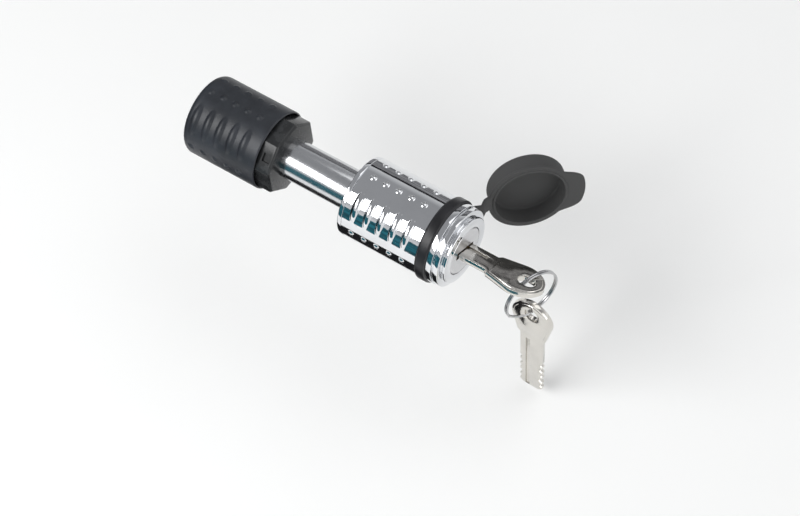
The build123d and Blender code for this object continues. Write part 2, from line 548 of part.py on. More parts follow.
with BuildPart() as lock_plug:
    with BuildSketch(Plane.YZ.offset(head(PLUG_START))):
        Circle(PLUG_R)
    extrude(amount=PLUG_FACE_START - PLUG_START)
    revolve(turned((head(CAM_END), 0), (head(CAM_END), TAIL_R), (head(CLIP_START), TAIL_R),
                   (head(CLIP_START), CLIP_GROOVE_R), (head(CLIP_END), CLIP_GROOVE_R),
                   (head(CLIP_END), TAIL_R), (head(PLUG_START), TAIL_R), (head(PLUG_START), 0)),
            axis=Axis.X)
    with BuildSketch(key_section(head(CAM_START))):
        Rectangle(TAIL_SQUARE, TAIL_SQUARE)
    extrude(amount=CAM_END - CAM_START)
    slot_start = HEAD_LENGTH - BLADE_IN_LOCK - GAP
    add(keyway(key_section(head(slot_start)), HEAD_LENGTH - slot_start), mode=Mode.SUBTRACT)
    for step in range(WAFER_COUNT):
        station = head(WAFER_FIRST_X + step * WAFER_PITCH)
        with BuildSketch(key_section(station - WAFER_THICK / 2 - SLIP / 2)):
            Rectangle(2 * HEAD_R, 2 * (WAFER_HALF_WIDTH + SLIP))
            pocket_low, pocket_high = -WAFER_SPRING_LENGTH - SNUG, WAFER_LUG_HEIGHT + WAFER_LIFT
            with Locations(((pocket_low + pocket_high) / 2, WAFER_LUG_REACH / 2 + SLIP)):
                Rectangle(pocket_high - pocket_low, WAFER_LUG_REACH + 2 * SLIP)
        extrude(amount=WAFER_THICK + SLIP, mode=Mode.SUBTRACT)

with BuildPart() as plug_face:
    with BuildSketch(Plane.YZ.offset(head(PLUG_FACE_START))):
        Circle(PLUG_FACE_R)
    extrude(amount=HEAD_LENGTH - PLUG_FACE_START)
    chamfer(edges().filter_by(GeomType.CIRCLE).sort_by(Axis.X)[-1], EDGE)
    with BuildSketch(key_section(head(PLUG_FACE_START))):
        Rectangle(2 * (SLOT_HALF + ENTRY_ROOM), 2 * (SLOT_HALF_THICK + ENTRY_ROOM))
    extrude(amount=HEAD_LENGTH - PLUG_FACE_START, mode=Mode.SUBTRACT)

with BuildPart() as tumbler_wafers:
    for step in range(WAFER_COUNT):
        station = head(WAFER_FIRST_X + step * WAFER_PITCH)
        with BuildSketch(key_section(station - WAFER_THICK / 2)):
            Circle(PLUG_R - SLIP)
            Rectangle(2 * HEAD_R, 2 * WAFER_HALF_WIDTH, mode=Mode.INTERSECT)
            with Locations((WAFER_LUG_HEIGHT / 2, (WAFER_HALF_WIDTH + WAFER_LUG_REACH) / 2)):
                Rectangle(WAFER_LUG_HEIGHT, WAFER_LUG_REACH - WAFER_HALF_WIDTH)
            Rectangle(2 * SLOT_HALF, 2 * SLOT_HALF_THICK, mode=Mode.SUBTRACT)
        extrude(amount=WAFER_THICK)

with BuildPart() as wafer_springs:
    key_width = across(KEY_ANGLE)
    key_flat = Vector(1, 0, 0).cross(key_width)
    for step in range(WAFER_COUNT):
        station = Vector(head(WAFER_FIRST_X + step * WAFER_PITCH), 0, 0)
        foot = station + key_flat * WAFER_SPRING_X - key_width * (WAFER_SPRING_LENGTH - WAFER_SPRING_WIRE_R)
        add(coil(foot, WAFER_SPRING_LENGTH - 2 * WAFER_SPRING_WIRE_R - SNUG, WAFER_SPRING_R,
                 WAFER_SPRING_WIRE_R, WAFER_SPRING_TURNS, key_width))

with BuildPart() as tail_cam:
    with BuildSketch(key_section(head(CAM_START))):
        Circle(CAM_R)
        Rectangle(TAIL_SQUARE + 2 * SNUG, TAIL_SQUARE + 2 * SNUG, mode=Mode.SUBTRACT)
    extrude(amount=CAM_END - CAM_START)
    with BuildSketch(Plane.YZ.offset(head(CARRIER_END + GAP))):
        with Locations((0, -CAM_PIN_OFFSET)):
            Circle(CAM_PIN_R)
    extrude(amount=CAM_START - CARRIER_END - GAP)

with BuildPart() as tail_clip:
    with BuildSketch(Plane.YZ.offset(head(CLIP_START + SNUG))):
        Circle(CLIP_R)
        Circle(CLIP_GROOVE_R + SNUG, mode=Mode.SUBTRACT)
        with Locations((0, CLIP_R)):
            Rectangle(CLIP_MOUTH, 2 * CLIP_R, mode=Mode.SUBTRACT)
    extrude(amount=CLIP_END - CLIP_START - 2 * SNUG)

# ==== Keys and their ring ====
key_face = head(HEAD_LENGTH)
key_plane = Plane(origin=(key_face, 0, 0), x_dir=(1, 0, 0),
                  z_dir=Vector(1, 0, 0).cross(across(KEY_ANGLE)))
with BuildPart() as working_key:
    add(key_on(key_plane))

ring_centre = Vector(*RING_CENTRE) + Vector(HEAD_X, 0, 0)
ring_normal = Vector(*RING_NORMAL).normalized()
ring_plane = Plane(origin=ring_centre, z_dir=ring_normal)
with BuildPart() as key_ring:
    with BuildSketch(ring_plane.offset(-RING_WIRE_WIDE)):
        Circle(RING_R + RING_WIRE_THICK / 2)
        Circle(RING_R - RING_WIRE_THICK / 2, mode=Mode.SUBTRACT)
    extrude(amount=2 * RING_WIRE_WIDE)
    fillet(edges().filter_by(GeomType.CIRCLE), RING_WIRE_FILLET)

# the spare hangs with the outer end of its hole on the ring's lowest point
ring_across = Vector(0, 0, 1).cross(ring_normal).normalized()
ring_down = ring_normal.cross(ring_across).normalized()
if ring_down.Z > 0:
    ring_down = -ring_down
spare_along = -ring_down.rotate(Axis((0, 0, 0), tuple(ring_normal)), SPARE_LEAN)
hang_point = ring_centre + ring_down * (RING_R - RING_WIRE_THICK / 2 - HANG_GAP)
spare_origin = hang_point - spare_along * HOLE_END
spare_width = ring_normal.rotate(Axis((0, 0, 0), tuple(spare_along)), SPARE_TWIST)
with BuildPart() as spare_key:
    add(key_on(Plane(origin=spare_origin, x_dir=spare_along, z_dir=spare_along.cross(spare_width))))

# ==== Dust cap ====
pivot = Vector(head(PIVOT_X), 0, 0) + strap_dir * PIVOT_R
pivot_axis = Axis((0, 0, 0), tuple(hinge_axis))
cap_centre = pivot + (Vector(head(CAP_CLOSED_X), 0, 0) - pivot).rotate(pivot_axis, CAP_OPEN)
cap_out = (-strap_dir).rotate(pivot_axis, CAP_OPEN)
cap_mouth = Vector(-1, 0, 0).rotate(pivot_axis, CAP_OPEN)
cap_plane = Plane(origin=cap_centre, x_dir=cap_out, z_dir=cap_mouth)
with BuildPart() as dust_cap:
    with BuildSketch(cap_plane):
        Circle(CAP_R)
    extrude(amount=-CAP_DEPTH)
    fillet(faces().sort_by(Axis(tuple(cap_centre), tuple(cap_mouth)))[0].edges(), CAP_FILLET)
    with BuildSketch(cap_plane):
        Circle(FLANGE_R)
        with Locations((TAB_REACH / 2, 0)):
            RectangleRounded(TAB_REACH, 2 * TAB_HALF, TAB_ROUND)
    extrude(amount=-FLANGE_THICK)
    with BuildSketch(cap_plane):
        Circle(CAP_MOUTH_R)
    extrude(amount=-(CAP_DEPTH - CAP_WALL), mode=Mode.SUBTRACT)
    # arm from the flange back to the strap's bending line, which stands proud of the mouth
    arm_plane = Plane(origin=cap_centre, x_dir=cap_out, z_dir=cap_out.cross(cap_mouth))
    bead_out, bead_up = -PIVOT_R, CAP_CLOSED_X - PIVOT_X
    root_out, root_up = -(FLANGE_R - STRAP_BURIED), -FLANGE_THICK / 2
    arm_lean = atan2(root_up - bead_up, root_out - bead_out)
    off_out, off_up = sin(arm_lean) * STRAP_THICK / 2, cos(arm_lean) * STRAP_THICK / 2
    with BuildSketch(arm_plane):
        with BuildLine():
            Polyline((bead_out - off_out, bead_up + off_up), (root_out - off_out, root_up + off_up),
                     (root_out + off_out, root_up - off_up), (bead_out + off_out, bead_up - off_up),
                     close=True)
        make_face()
        with Locations((bead_out, bead_up)):
            Circle(STRAP_BEAD_R)
    extrude(amount=STRAP_WIDTH / 2, both=True)

# ==== Write every piece ====
os.makedirs("parts", exist_ok=True)
pieces = {
    "locking_pin": locking_pin, "fixed_head": fixed_head, "head_cross_pin": head_cross_pin,
    "grip_sleeve": grip_sleeve, "lock_housing": lock_housing, "rear_plate": rear_plate,
    "pin_seal": pin_seal, "cap_band": cap_band, "latch_carrier": latch_carrier,
    "locking_bolt": locking_bolt, "bolt_springs": bolt_springs, "cylinder_shell": cylinder_shell,
    "shell_retaining_pin": shell_retaining_pin, "cylinder_o_ring": cylinder_o_ring,
    "lock_plug": lock_plug, "plug_face": plug_face, "tumbler_wafers": tumbler_wafers,
    "wafer_springs": wafer_springs, "tail_cam": tail_cam, "tail_clip": tail_clip,
    "working_key": working_key, "key_ring": key_ring, "spare_key": spare_key, "dust_cap": dust_cap,
}
for name, piece in pieces.items():
    piece.part.label = name
    export_step(piece.part, f"parts/{name}.step")
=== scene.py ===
"""Finished look of the trailer coupler lock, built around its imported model."""

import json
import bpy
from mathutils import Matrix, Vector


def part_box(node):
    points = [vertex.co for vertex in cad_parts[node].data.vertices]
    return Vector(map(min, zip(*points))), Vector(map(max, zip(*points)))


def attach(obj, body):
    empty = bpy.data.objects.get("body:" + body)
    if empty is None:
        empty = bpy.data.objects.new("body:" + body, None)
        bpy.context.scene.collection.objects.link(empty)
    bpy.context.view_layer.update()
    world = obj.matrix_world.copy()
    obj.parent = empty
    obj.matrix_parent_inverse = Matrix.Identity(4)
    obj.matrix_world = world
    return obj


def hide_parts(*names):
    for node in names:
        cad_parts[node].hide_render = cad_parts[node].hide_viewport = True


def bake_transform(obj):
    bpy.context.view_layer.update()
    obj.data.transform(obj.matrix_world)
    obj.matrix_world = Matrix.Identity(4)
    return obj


bl_info = {
    "name": "Coupler Lock",
    "version": (1, 0, 0),
    "blender": (4, 5, 0),
    "location": "View3D > Sidebar > Coupler Lock",
    "description": "Builds the visible pieces and finishes of a trailer coupler lock",
    "category": "Object",
}

from math import atan2, ceil, cos, hypot, pi, radians, sin, sqrt

import bmesh
import bpy
from bpy.props import FloatProperty, FloatVectorProperty, IntProperty, PointerProperty
from mathutils import Matrix, Vector

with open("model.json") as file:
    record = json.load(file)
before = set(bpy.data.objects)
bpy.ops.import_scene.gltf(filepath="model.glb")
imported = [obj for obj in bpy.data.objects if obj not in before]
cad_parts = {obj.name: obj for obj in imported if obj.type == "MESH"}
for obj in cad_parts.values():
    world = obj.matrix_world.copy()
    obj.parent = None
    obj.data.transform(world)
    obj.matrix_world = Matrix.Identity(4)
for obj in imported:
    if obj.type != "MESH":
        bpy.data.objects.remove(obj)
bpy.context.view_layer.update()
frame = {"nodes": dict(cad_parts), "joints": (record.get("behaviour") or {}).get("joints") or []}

MM = 0.001
HEAD_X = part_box("rear_plate")[0].x          # lock head's rear face
SLEEVE_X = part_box("grip_sleeve")[0].x       # closed end of the rubber sleeve
MOUTH_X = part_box("grip_sleeve")[1].x        # open end of the rubber sleeve
COLLAR_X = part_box("fixed_head")[1].x        # collar's front face
FACE_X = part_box("plug_face")[1].x           # key face
PIN_TIP_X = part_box("locking_pin")[1].x
FLOOR_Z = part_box("spare_key")[0].z - 4 * MM
RING_LOW, RING_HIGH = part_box("key_ring")
RING_AXIS = Vector((0.937, -0.347, 0.024))
JOINTS = {joint["name"]: joint for joint in frame["joints"]}


def length(name, millimetres, description):
    """Length property, given in millimetres and kept in metres."""
    return FloatProperty(name=name, description=description, default=millimetres * MM,
                         unit="LENGTH", precision=5)


def turn(name, angle, description):
    """Angle property, given in degrees and kept in radians."""
    return FloatProperty(name=name, description=description, default=radians(angle),
                         unit="ROTATION")


def colour(name, rgb, description):
    """Colour property."""
    return FloatVectorProperty(name=name, description=description, default=rgb, size=3,
                               subtype="COLOR", min=0, max=1)


# ---- Properties ----

class GripSizes(bpy.types.PropertyGroup):
    """Grip pattern that both heads share"""
    radius: length("Head radius", 16.0, "Barrel and sleeve, without the ribs")
    pitch: length("Rib pitch", 5.55, "From one rib to the next along the pin")
    rib_height: length("Rib height", 1.0, "How far a rib stands out at its middle")
    rib_edge: length("Rib edge radius", 1.62, "Radius of a rib's rounded cross-section")
    dot_radius: length("Dot radius", 1.25, "Footprint of a round dot")
    dot_height: length("Dot height", 0.55, "How far a dot stands out")
    rib_arc: turn("Rib half arc", 23.5, "From a rib's middle to its pointed end")
    middle: turn("Ribs' middle", 130.0, "Direction of the first ribs, from +Y towards +Z")
    head_first: length("First rib on the lock head", 6.45, "From its rear face")
    sleeve_first: length("First rib on the sleeve", 4.6, "From its closed end")
    count: IntProperty(name="Ribs", description="Ribs in each group", default=5, min=1)
    units: IntProperty(name="Groups", description="Groups round a head", default=2, min=1)


class HeadSizes(bpy.types.PropertyGroup):
    """Lock head's barrel, stepped front and rubber band"""
    plate: length("Rear plate", 1.9, "Thickness of the disc behind the barrel")
    plate_wall: length("Rear plate spigot", 0.8, "Wall of the spigot inside the barrel")
    chamber: length("Chamber radius", 13.9, "Rear chamber inside the barrel")
    chamber_end: length("Chamber end", 19.8, "From the rear face")
    bore: length("Front bore radius", 9.7, "Bore that holds the key cylinder")
    edge: length("Barrel edge", 0.25, "Rounding of the barrel's and plate's edges")
    band_start: length("Band start", 34.6, "From the rear face")
    band_end: length("Band end", 38.9, "From the rear face")
    band_seat: length("Band seat radius", 14.7, "Barrel under the band")
    band: length("Band radius", 16.7, "Outside of the rubber band")
    first_ring: length("First ring radius", 15.9, "Step just in front of the band")
    first_ring_end: length("First ring end", 41.2, "From the rear face")
    first_groove: length("First groove radius", 14.9, "Between the first and second rings")
    first_groove_end: length("First groove end", 42.0, "From the rear face")
    second_ring: length("Second ring radius", 15.6, "Middle step of the front")
    second_ring_end: length("Second ring end", 43.9, "From the rear face")
    second_groove: length("Second groove radius", 13.0, "Between the second ring and the face")
    second_groove_end: length("Second groove end", 44.7, "From the rear face")
    face_ring: length("Face ring radius", 13.4, "Front step round the key face")
    face: length("Front face", 45.8, "From the rear face")


class PinSizes(bpy.types.PropertyGroup):
    """Fixed head's sleeve and collar, and the pin"""
    pin: length("Pin radius", 7.9375, "Exposed pin")
    pin_end: length("Pin end radius", 7.75, "Pin inside the lock head")
    pin_root: length("Pin root radius", 7.0, "Pin inside the fixed head")
    latch_groove: length("Latch groove radius", 5.6, "Groove that the bolt enters")
    latch_start: length("Latch groove start", 7.5, "From the lock head's rear face")
    latch_end: length("Latch groove end", 11.5, "From the lock head's rear face")
    tip: length("Tip chamfer", 1.4, "Chamfer on the free end")
    sleeve_fillet: length("Sleeve corner", 3.0, "Rounding of the sleeve's closed end")
    sleeve_mouth: length("Sleeve mouth radius", 15.3, "Recess at the sleeve's open end")
    sleeve_bore: length("Sleeve bore radius", 14.0, "Inside the sleeve")
    sleeve_wall: length("Sleeve end wall", 3.0, "Closed end, and depth of the mouth recess")
    collar: length("Collar half flats", 14.0, "From the axis to a facet")
    collar_long: length("Collar length", 8.0, "Along the pin")
    collar_turn: turn("Collar corner", 155.0, "Direction of a corner, from +Y towards +Z")
    core: length("Core radius", 13.9, "Metal core inside the sleeve")
    core_long: length("Core length", 26.3, "Along the pin")
    mark_half: length("Recess half side", 1.7, "Square recess in one facet")
    mark_back: length("Recess place", 3.1, "From the collar's front face to its middle")
    mark_deep: length("Recess depth", 0.9, "Below the facet")


class CapSizes(bpy.types.PropertyGroup):
    """Dust cap and its strap"""
    wall: length("Cap radius", 15.0, "Outside of the cap's wall")
    rim: length("Rim radius", 16.0, "Rim round the mouth")
    rim_thick: length("Rim thickness", 1.2, "Along the cap's axis")
    mouth: length("Mouth radius", 13.5, "Inside of the cap")
    lip: length("Lip height", 0.35, "Raised lip round the mouth")
    deep: length("Cap depth", 8.6, "From the rim to the back")
    floor: length("Inside depth", 6.6, "From the rim to the floor")
    tab: length("Tab length", 5.2, "How far the pull tab stands out from the rim")
    tab_inner: turn("Tab half width", 16.0, "Half angle of the tab's full length")
    tab_outer: turn("Tab root", 44.0, "Half angle at which the tab meets the rim")
    seat: length("Closed rim place", 44.0, "From the lock head's rear face, with the cap shut")
    strap_half: length("Strap half width", 3.5, "Across the strap")
    strap_thick: length("Strap thickness", 1.5, "Through the strap")
    strap_turn: turn("Strap direction", -12.8, "From +Y towards +Z")
    opened: turn("Cap opening", 137.4, "How far the cap stands open")


class KeySizes(bpy.types.PropertyGroup):
    """Keys and their split ring"""
    thick: length("Key thickness", 2.0, "Blade and rim of the bow")
    blade: length("Blade half width", 4.9, "From the key's middle line")
    tip: length("Blade length", 23.2, "From the key face to the tip")
    tip_half: length("Tip half width", 3.4, "At the very end of the blade")
    tip_bevel: length("Tip slope", 1.3, "Length of the slope at the end of the blade")
    first_cut: length("First cut", 19.8, "From the key face back to the deepest cut")
    cut_pitch: length("Cut pitch", 3.6, "From one cut to the next")
    cut_flat: length("Cut half flat", 0.55, "Half of a cut's flat bottom")
    neck: length("Neck length", 1.2, "Slope from the blade to the bow")
    neck_half: length("Neck half width", 6.2, "Where the bow starts")
    shoulder: length("Bow start", 11.5, "From the key face")
    wide_at: length("Widest place", 21.0, "From the key face")
    bow_end: length("Bow end", 33.5, "From the key face")
    bow: length("Bow half width", 8.2, "At its widest")
    bow_rim: length("Bow rim", 0.95, "Width of the rim round the field")
    field: length("Bow field", 0.28, "How far the bow's field stands above its rim")
    hole_start: length("Hole start", 22.9, "From the key face")
    hole_end: length("Hole end", 30.1, "From the key face")
    hole_half: length("Hole half width", 2.7, "Elongated hole in the bow")
    groove_low: length("Groove lower side", 0.65, "From the key's middle line")
    groove_high: length("Groove upper side", 2.35, "From the key's middle line")
    groove_end: length("Groove end", 9.0, "From the key face")
    groove_deep: length("Groove depth", 0.65, "Below the blade's flat")
    edge: length("Key edge", 0.14, "Rounding of the key's edges")
    angle: turn("Key turn", -28.4, "Key's width direction, from +Y towards +Z")
    hang_at: length("Hanging point", 30.0, "On the spare key, where the wire bears")
    hang_gap: length("Hanging gap", 1.15, "From the wire's middle to the hanging point")
    lean: turn("Spare key lean", -5.0, "How far the spare key hangs off plumb")
    twist: turn("Spare key twist", 19.0, "How far the spare key is turned on the wire")
    ring: length("Ring radius", 11.2, "Middle of the split ring's wire")
    wire_wide: length("Wire width", 0.78, "One coil, along the ring's axis")
    wire_thick: length("Wire thickness", 0.84, "Across the wire, out from the centre")
    wire_edge: length("Wire edge", 0.24, "Rounding of the wire")


class FinishColours(bpy.types.PropertyGroup):
    """Main colours"""
    chrome: colour("Chrome", (0.80, 0.81, 0.83), "Barrel, rear plate and front rings")
    sleeve: colour("Sleeve rubber", (0.022, 0.025, 0.031), "Rubber sleeve")
    cap: colour("Cap rubber", (0.009, 0.009, 0.011), "Dust cap, strap and band")
    collar: colour("Collar", (0.018, 0.019, 0.020), "Gloss black collar")
    nickel: colour("Nickel", (0.74, 0.715, 0.67), "Keys")
    steel: colour("Steel", (0.60, 0.60, 0.61), "Ring, latch and springs")
    brass: colour("Brass", (0.72, 0.53, 0.25), "Cylinder, plug and wafers")
    floor: colour("Floor", (0.88, 0.88, 0.87), "Plain pale floor")


# ---- Shader helpers ----

class Wire:
    """A shader value. Arithmetic on it adds the Math nodes that work it out."""

    def __init__(self, finish, socket):
        self.finish = finish
        self.socket = socket

    def maths(self, operation, *values):
        return self.finish.node("ShaderNodeMath", {"operation": operation}, dict(enumerate(values)))

    def __add__(self, other):
        return self.maths("ADD", self, other)

    __radd__ = __add__

    def __sub__(self, other):
        return self.maths("SUBTRACT", self, other)

    def __rsub__(self, other):
        return self.maths("SUBTRACT", other, self)

    def __mul__(self, other):
        return self.maths("MULTIPLY", self, other)

    __rmul__ = __mul__

    def __pow__(self, power):
        return self.maths("POWER", self, power)

    def between(self, low, high):
        """0 below low, 1 above high, smooth between."""
        return self.finish.node("ShaderNodeMapRange", {"interpolation_type": "SMOOTHSTEP"},
                                {"Value": self, "From Min": low, "From Max": high})


class Finish:
    """A procedural material: a Principled shader and the nodes that feed it."""

    def __init__(self, name, **constants):
        self.material = bpy.data.materials.new(name)
        self.material.use_nodes = True
        self.tree = self.material.node_tree
        self.shader = self.tree.nodes["Principled BSDF"]
        for socket, value in constants.items():
            self.set(socket.replace("_", " "), value)
        self.place = self.node("ShaderNodeTexCoord", {}, {}, "Object")

    def link(self, value, socket):
        """Feeds a socket with a wire or a plain value."""
        if isinstance(value, Wire):
            self.tree.links.new(value.socket, socket)
        elif hasattr(socket.default_value, "__len__") and len(socket.default_value) == 4:
            socket.default_value = (*value, 1) if len(value) == 3 else value
        else:
            socket.default_value = value

    def node(self, kind, settings, values, output=0):
        """Adds a node: its settings first, then its sockets by name or number."""
        made = self.tree.nodes.new(kind)
        for key, value in settings.items():
            setattr(made, key, value)
        for key, value in values.items():
            self.link(value, made.inputs[key])
        return Wire(self, made.outputs[output])

    def set(self, socket, value):
        """Sets or links one of the shader's sockets."""
        self.link(value, self.shader.inputs[socket])

    def stretched(self, x, y, z):
        """Object coordinates, scaled along each axis."""
        return self.node("ShaderNodeMapping", {}, {"Vector": self.place, "Scale": (x, y, z)})

    def noise(self, scale, detail=3.0, where=None, roughness=0.55):
        """Noise with scale features to the metre."""
        return self.node("ShaderNodeTexNoise", {}, {"Vector": where or self.place, "Scale": scale,
                                                    "Detail": detail, "Roughness": roughness})

    def mix(self, amount, first, second):
        """Blend of two colours."""
        made = self.tree.nodes.new("ShaderNodeMix")
        made.data_type = "RGBA"
        self.link(amount, made.inputs["Factor"])
        self.link(first, made.inputs[6])
        self.link(second, made.inputs[7])
        return Wire(self, made.outputs[2])

    def bump(self, height, distance, strength=1.0):
        """Feeds the shader's normal from a height, with distance in metres."""
        self.set("Normal", self.node("ShaderNodeBump", {}, {"Height": height, "Distance": distance,
                                                            "Strength": strength}, "Normal"))


def tinted(rgb, factor):
    """A colour, lighter or darker."""
    return tuple(min(1.0, channel * factor) for channel in rgb)


# ---- Finishes ----

def chrome_finish():
    """Bright chrome plate: faint orange peel, smudges and a few hairline marks."""
    base = colours().chrome
    finish = Finish("chrome_plate", Metallic=1.0)
    smudge = finish.noise(85.0, 4.0)
    finish.set("Base Color", finish.mix(smudge.between(0.35, 0.75), base, tinted(base, 0.92)))
    hairs = finish.noise(260.0, 2.0, finish.stretched(1.0, 14.0, 14.0)).between(0.62, 0.70)
    finish.set("Roughness", 0.045 + smudge.between(0.45, 0.8) * 0.06 + hairs * 0.05)
    finish.bump(finish.noise(420.0, 2.0) * 0.8 + hairs * 0.2, 0.000006)
    return finish.material


def rubber_finish(name, base, gloss, dust):
    """Moulded rubber: fine grain, soft mottling and a little pale dust."""
    finish = Finish(name, Specular_IOR_Level=0.45)
    grain = finish.noise(2600.0, 3.0)
    cloud = finish.noise(95.0, 5.0)
    dusty = finish.noise(340.0, 6.0, None, 0.7).between(0.58, 0.82) * dust
    body = finish.mix(cloud.between(0.3, 0.7), tinted(base, 0.8), tinted(base, 1.3))
    finish.set("Base Color", finish.mix(dusty, body, (0.20, 0.205, 0.215)))
    finish.set("Roughness", gloss + cloud * 0.12 + dusty * 0.3)
    finish.bump(grain * 0.6 + cloud * 0.4, 0.00005)
    return finish.material


def collar_finish():
    """Gloss black coat over metal, with rubbed patches that take the shine down."""
    base = colours().collar
    finish = Finish("black_collar_coat", Specular_IOR_Level=0.4)
    rub = finish.noise(180.0, 5.0).between(0.45, 0.75)
    finish.set("Base Color", finish.mix(rub, base, tinted(base, 1.7)))
    finish.set("Roughness", 0.20 + rub * 0.18)
    finish.bump(finish.noise(520.0, 3.0), 0.00002)
    return finish.material


def steel_finish(name, base, roughness, along, bright=0.25):
    """Ground or drawn steel with fine lines along one direction."""
    finish = Finish(name, Metallic=1.0)
    stretch = [1.0 if axis in along else 22.0 for axis in "xyz"]
    lines = finish.noise(210.0, 4.0, finish.stretched(*stretch))
    stain = finish.noise(120.0, 4.0).between(0.4, 0.75)
    finish.set("Base Color", finish.mix(lines * 0.6 + stain * 0.4, tinted(base, 1.0 - bright), base))
    finish.set("Roughness", roughness + lines * 0.10 + stain * 0.06)
    finish.bump(lines, 0.00001)
    return finish.material


def turned_finish(name, base, roughness, pitch):
    """Lathe-turned metal: rings about the pin's axis, over a fine grain."""
    finish = Finish(name, Metallic=1.0)
    flat = finish.node("ShaderNodeVectorMath", {"operation": "MULTIPLY"},
                       {0: finish.place, 1: (0.0, 1.0, 1.0)})
    reach = finish.node("ShaderNodeVectorMath", {"operation": "LENGTH"}, {0: flat}, "Value")
    rings = (reach * (2 * pi / pitch)).maths("SINE") * 0.5 + 0.5
    grain = finish.noise(900.0, 3.0)
    finish.set("Base Color", finish.mix(grain, tinted(base, 0.86), base))
    finish.set("Roughness", roughness + rings * 0.08 + grain * 0.06)
    finish.bump(rings * 0.7 + grain * 0.3, 0.000008)
    return finish.material


def key_finish():
    """Nickel plate, polished, with handling scratches and a slightly darker tone in random patches."""
    base = colours().nickel
    finish = Finish("key_nickel_plate", Metallic=1.0)
    tone = finish.noise(150.0, 4.0).between(0.3, 0.7)
    scratch = finish.noise(170.0, 3.0, finish.stretched(1.0, 18.0, 6.0)).between(0.60, 0.68)
    cross = finish.noise(190.0, 3.0, finish.stretched(16.0, 2.0, 5.0)).between(0.62, 0.69)
    finish.set("Base Color", finish.mix(tone, tinted(base, 0.90), base))
    finish.set("Roughness", 0.10 + tone * 0.07 + (scratch + cross) * 0.08)
    finish.bump(finish.noise(700.0, 3.0) * 0.7 - (scratch + cross) * 0.3, 0.00001)
    return finish.material


def floor_finish():
    """Matt painted board."""
    base = colours().floor
    finish = Finish("pale_floor", Roughness=0.85, Specular_IOR_Level=0.2)
    finish.set("Base Color", finish.mix(finish.noise(14.0, 3.0), tinted(base, 0.985), base))
    return finish.material


def card_finish(name, shade, glow):
    """Card that only shows in reflections: dark cloth, or cloth with a faint glow of its own."""
    finish = Finish(name, Roughness=0.9, Specular_IOR_Level=0.1, Emission_Strength=1.0)
    cloud = finish.noise(30.0, 2.0)
    finish.set("Base Color", finish.mix(cloud, tinted(shade, 0.5), shade))
    finish.set("Emission Color", finish.mix(cloud.between(0.35, 0.65), tinted(glow, 0.35), glow))
    return finish.material


# ---- Mesh helpers ----

def colours():
    return bpy.context.scene.lock_colours


def grip():
    return bpy.context.scene.lock_grip


def head():
    return bpy.context.scene.lock_head


def pin():
    return bpy.context.scene.lock_pin


def cap():
    return bpy.context.scene.lock_cap


def keys():
    return bpy.context.scene.lock_keys


def across(angle):
    """Unit vector square to the pin, at an angle from +Y towards +Z."""
    return Vector((0.0, cos(angle), sin(angle)))


def bevel(bm, edges, offset, segments=3):
    """Rounds the edges."""
    bmesh.ops.bevel(bm, geom=list(edges), offset=offset, offset_type="OFFSET", affect="EDGES",
                    segments=segments, profile=0.5, material=-1, clamp_overlap=True)


def slice_faces(bm, faces, point, normal):
    """Cuts faces along a plane."""
    edges = {edge for face in faces for edge in face.edges}
    verts = {vert for face in faces for vert in face.verts}
    bmesh.ops.bisect_plane(bm, geom=[*faces, *edges, *verts], plane_co=point, plane_no=normal,
                           dist=1e-8)


def moved_verts(result):
    """New vertices that an operator returned."""
    return [item for item in result["geom"] if isinstance(item, bmesh.types.BMVert)]


def to_mesh(bm, name):
    """Mesh of a bmesh, which is freed."""
    mesh = bpy.data.meshes.new(name)
    bm.to_mesh(mesh)
    bm.free()
    return mesh


def turned(profile, steps, closed=True):
    """Solid of revolution about X from (x, radius) points."""
    bm = bmesh.new()
    verts = [bm.verts.new((x, 0.0, radius)) for x, radius in profile]
    ends = verts[1:] + verts[:1] if closed else verts[1:]
    edges = [bm.edges.new(pair) for pair in zip(verts, ends)]
    bmesh.ops.spin(bm, geom=verts + edges, cent=(0, 0, 0), axis=(1, 0, 0), dvec=(0, 0, 0),
                   angle=2 * pi, steps=steps, use_merge=True, use_normal_flip=False,
                   use_duplicate=False)
    bmesh.ops.remove_doubles(bm, verts=bm.verts, dist=0.001 * MM)
    bmesh.ops.recalc_face_normals(bm, faces=bm.faces)
    return bm


def round_rings(bm, corners, offset, segments=3):
    """Rounds the ring-shaped edges at these (x, radius) corners."""
    found = []
    for edge in bm.edges:
        places = [(vert.co.x, hypot(vert.co.y, vert.co.z)) for vert in edge.verts]
        for x, radius in corners:
            if all(abs(px - x) < 0.004 * MM and abs(pr - radius) < 0.02 * MM for px, pr in places):
                found.append(edge)
    bevel(bm, found, offset, segments)


def finished(bm, name, material, body, replaced=(), crease=35.0):
    """Makes a piece of a bmesh: smooth faces, sharp edges past the crease, riding on its body."""
    for face in bm.faces:
        face.smooth = True
    for edge in bm.edges:
        edge.smooth = len(edge.link_faces) == 2 and edge.calc_face_angle(0.0) < radians(crease)
    mesh = to_mesh(bm, name)
    mesh.materials.append(material)
    piece = bpy.data.objects.new(name, mesh)
    bpy.context.scene.collection.objects.link(piece)
    if body:
        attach(piece, body)
    if replaced:
        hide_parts(*replaced)
    return piece


def painted(material, *nodes):
    """Gives CAD nodes a material."""
    for node in nodes:
        cad = frame["nodes"][node]
        cad.data.materials.clear()
        cad.data.materials.append(material)


DOT_ROWS = (radians(-75), radians(-45), radians(45))      # from the ribs' middle
RIB_REACH = 0.9             # radians from the ribs' middle, past which there is no rib


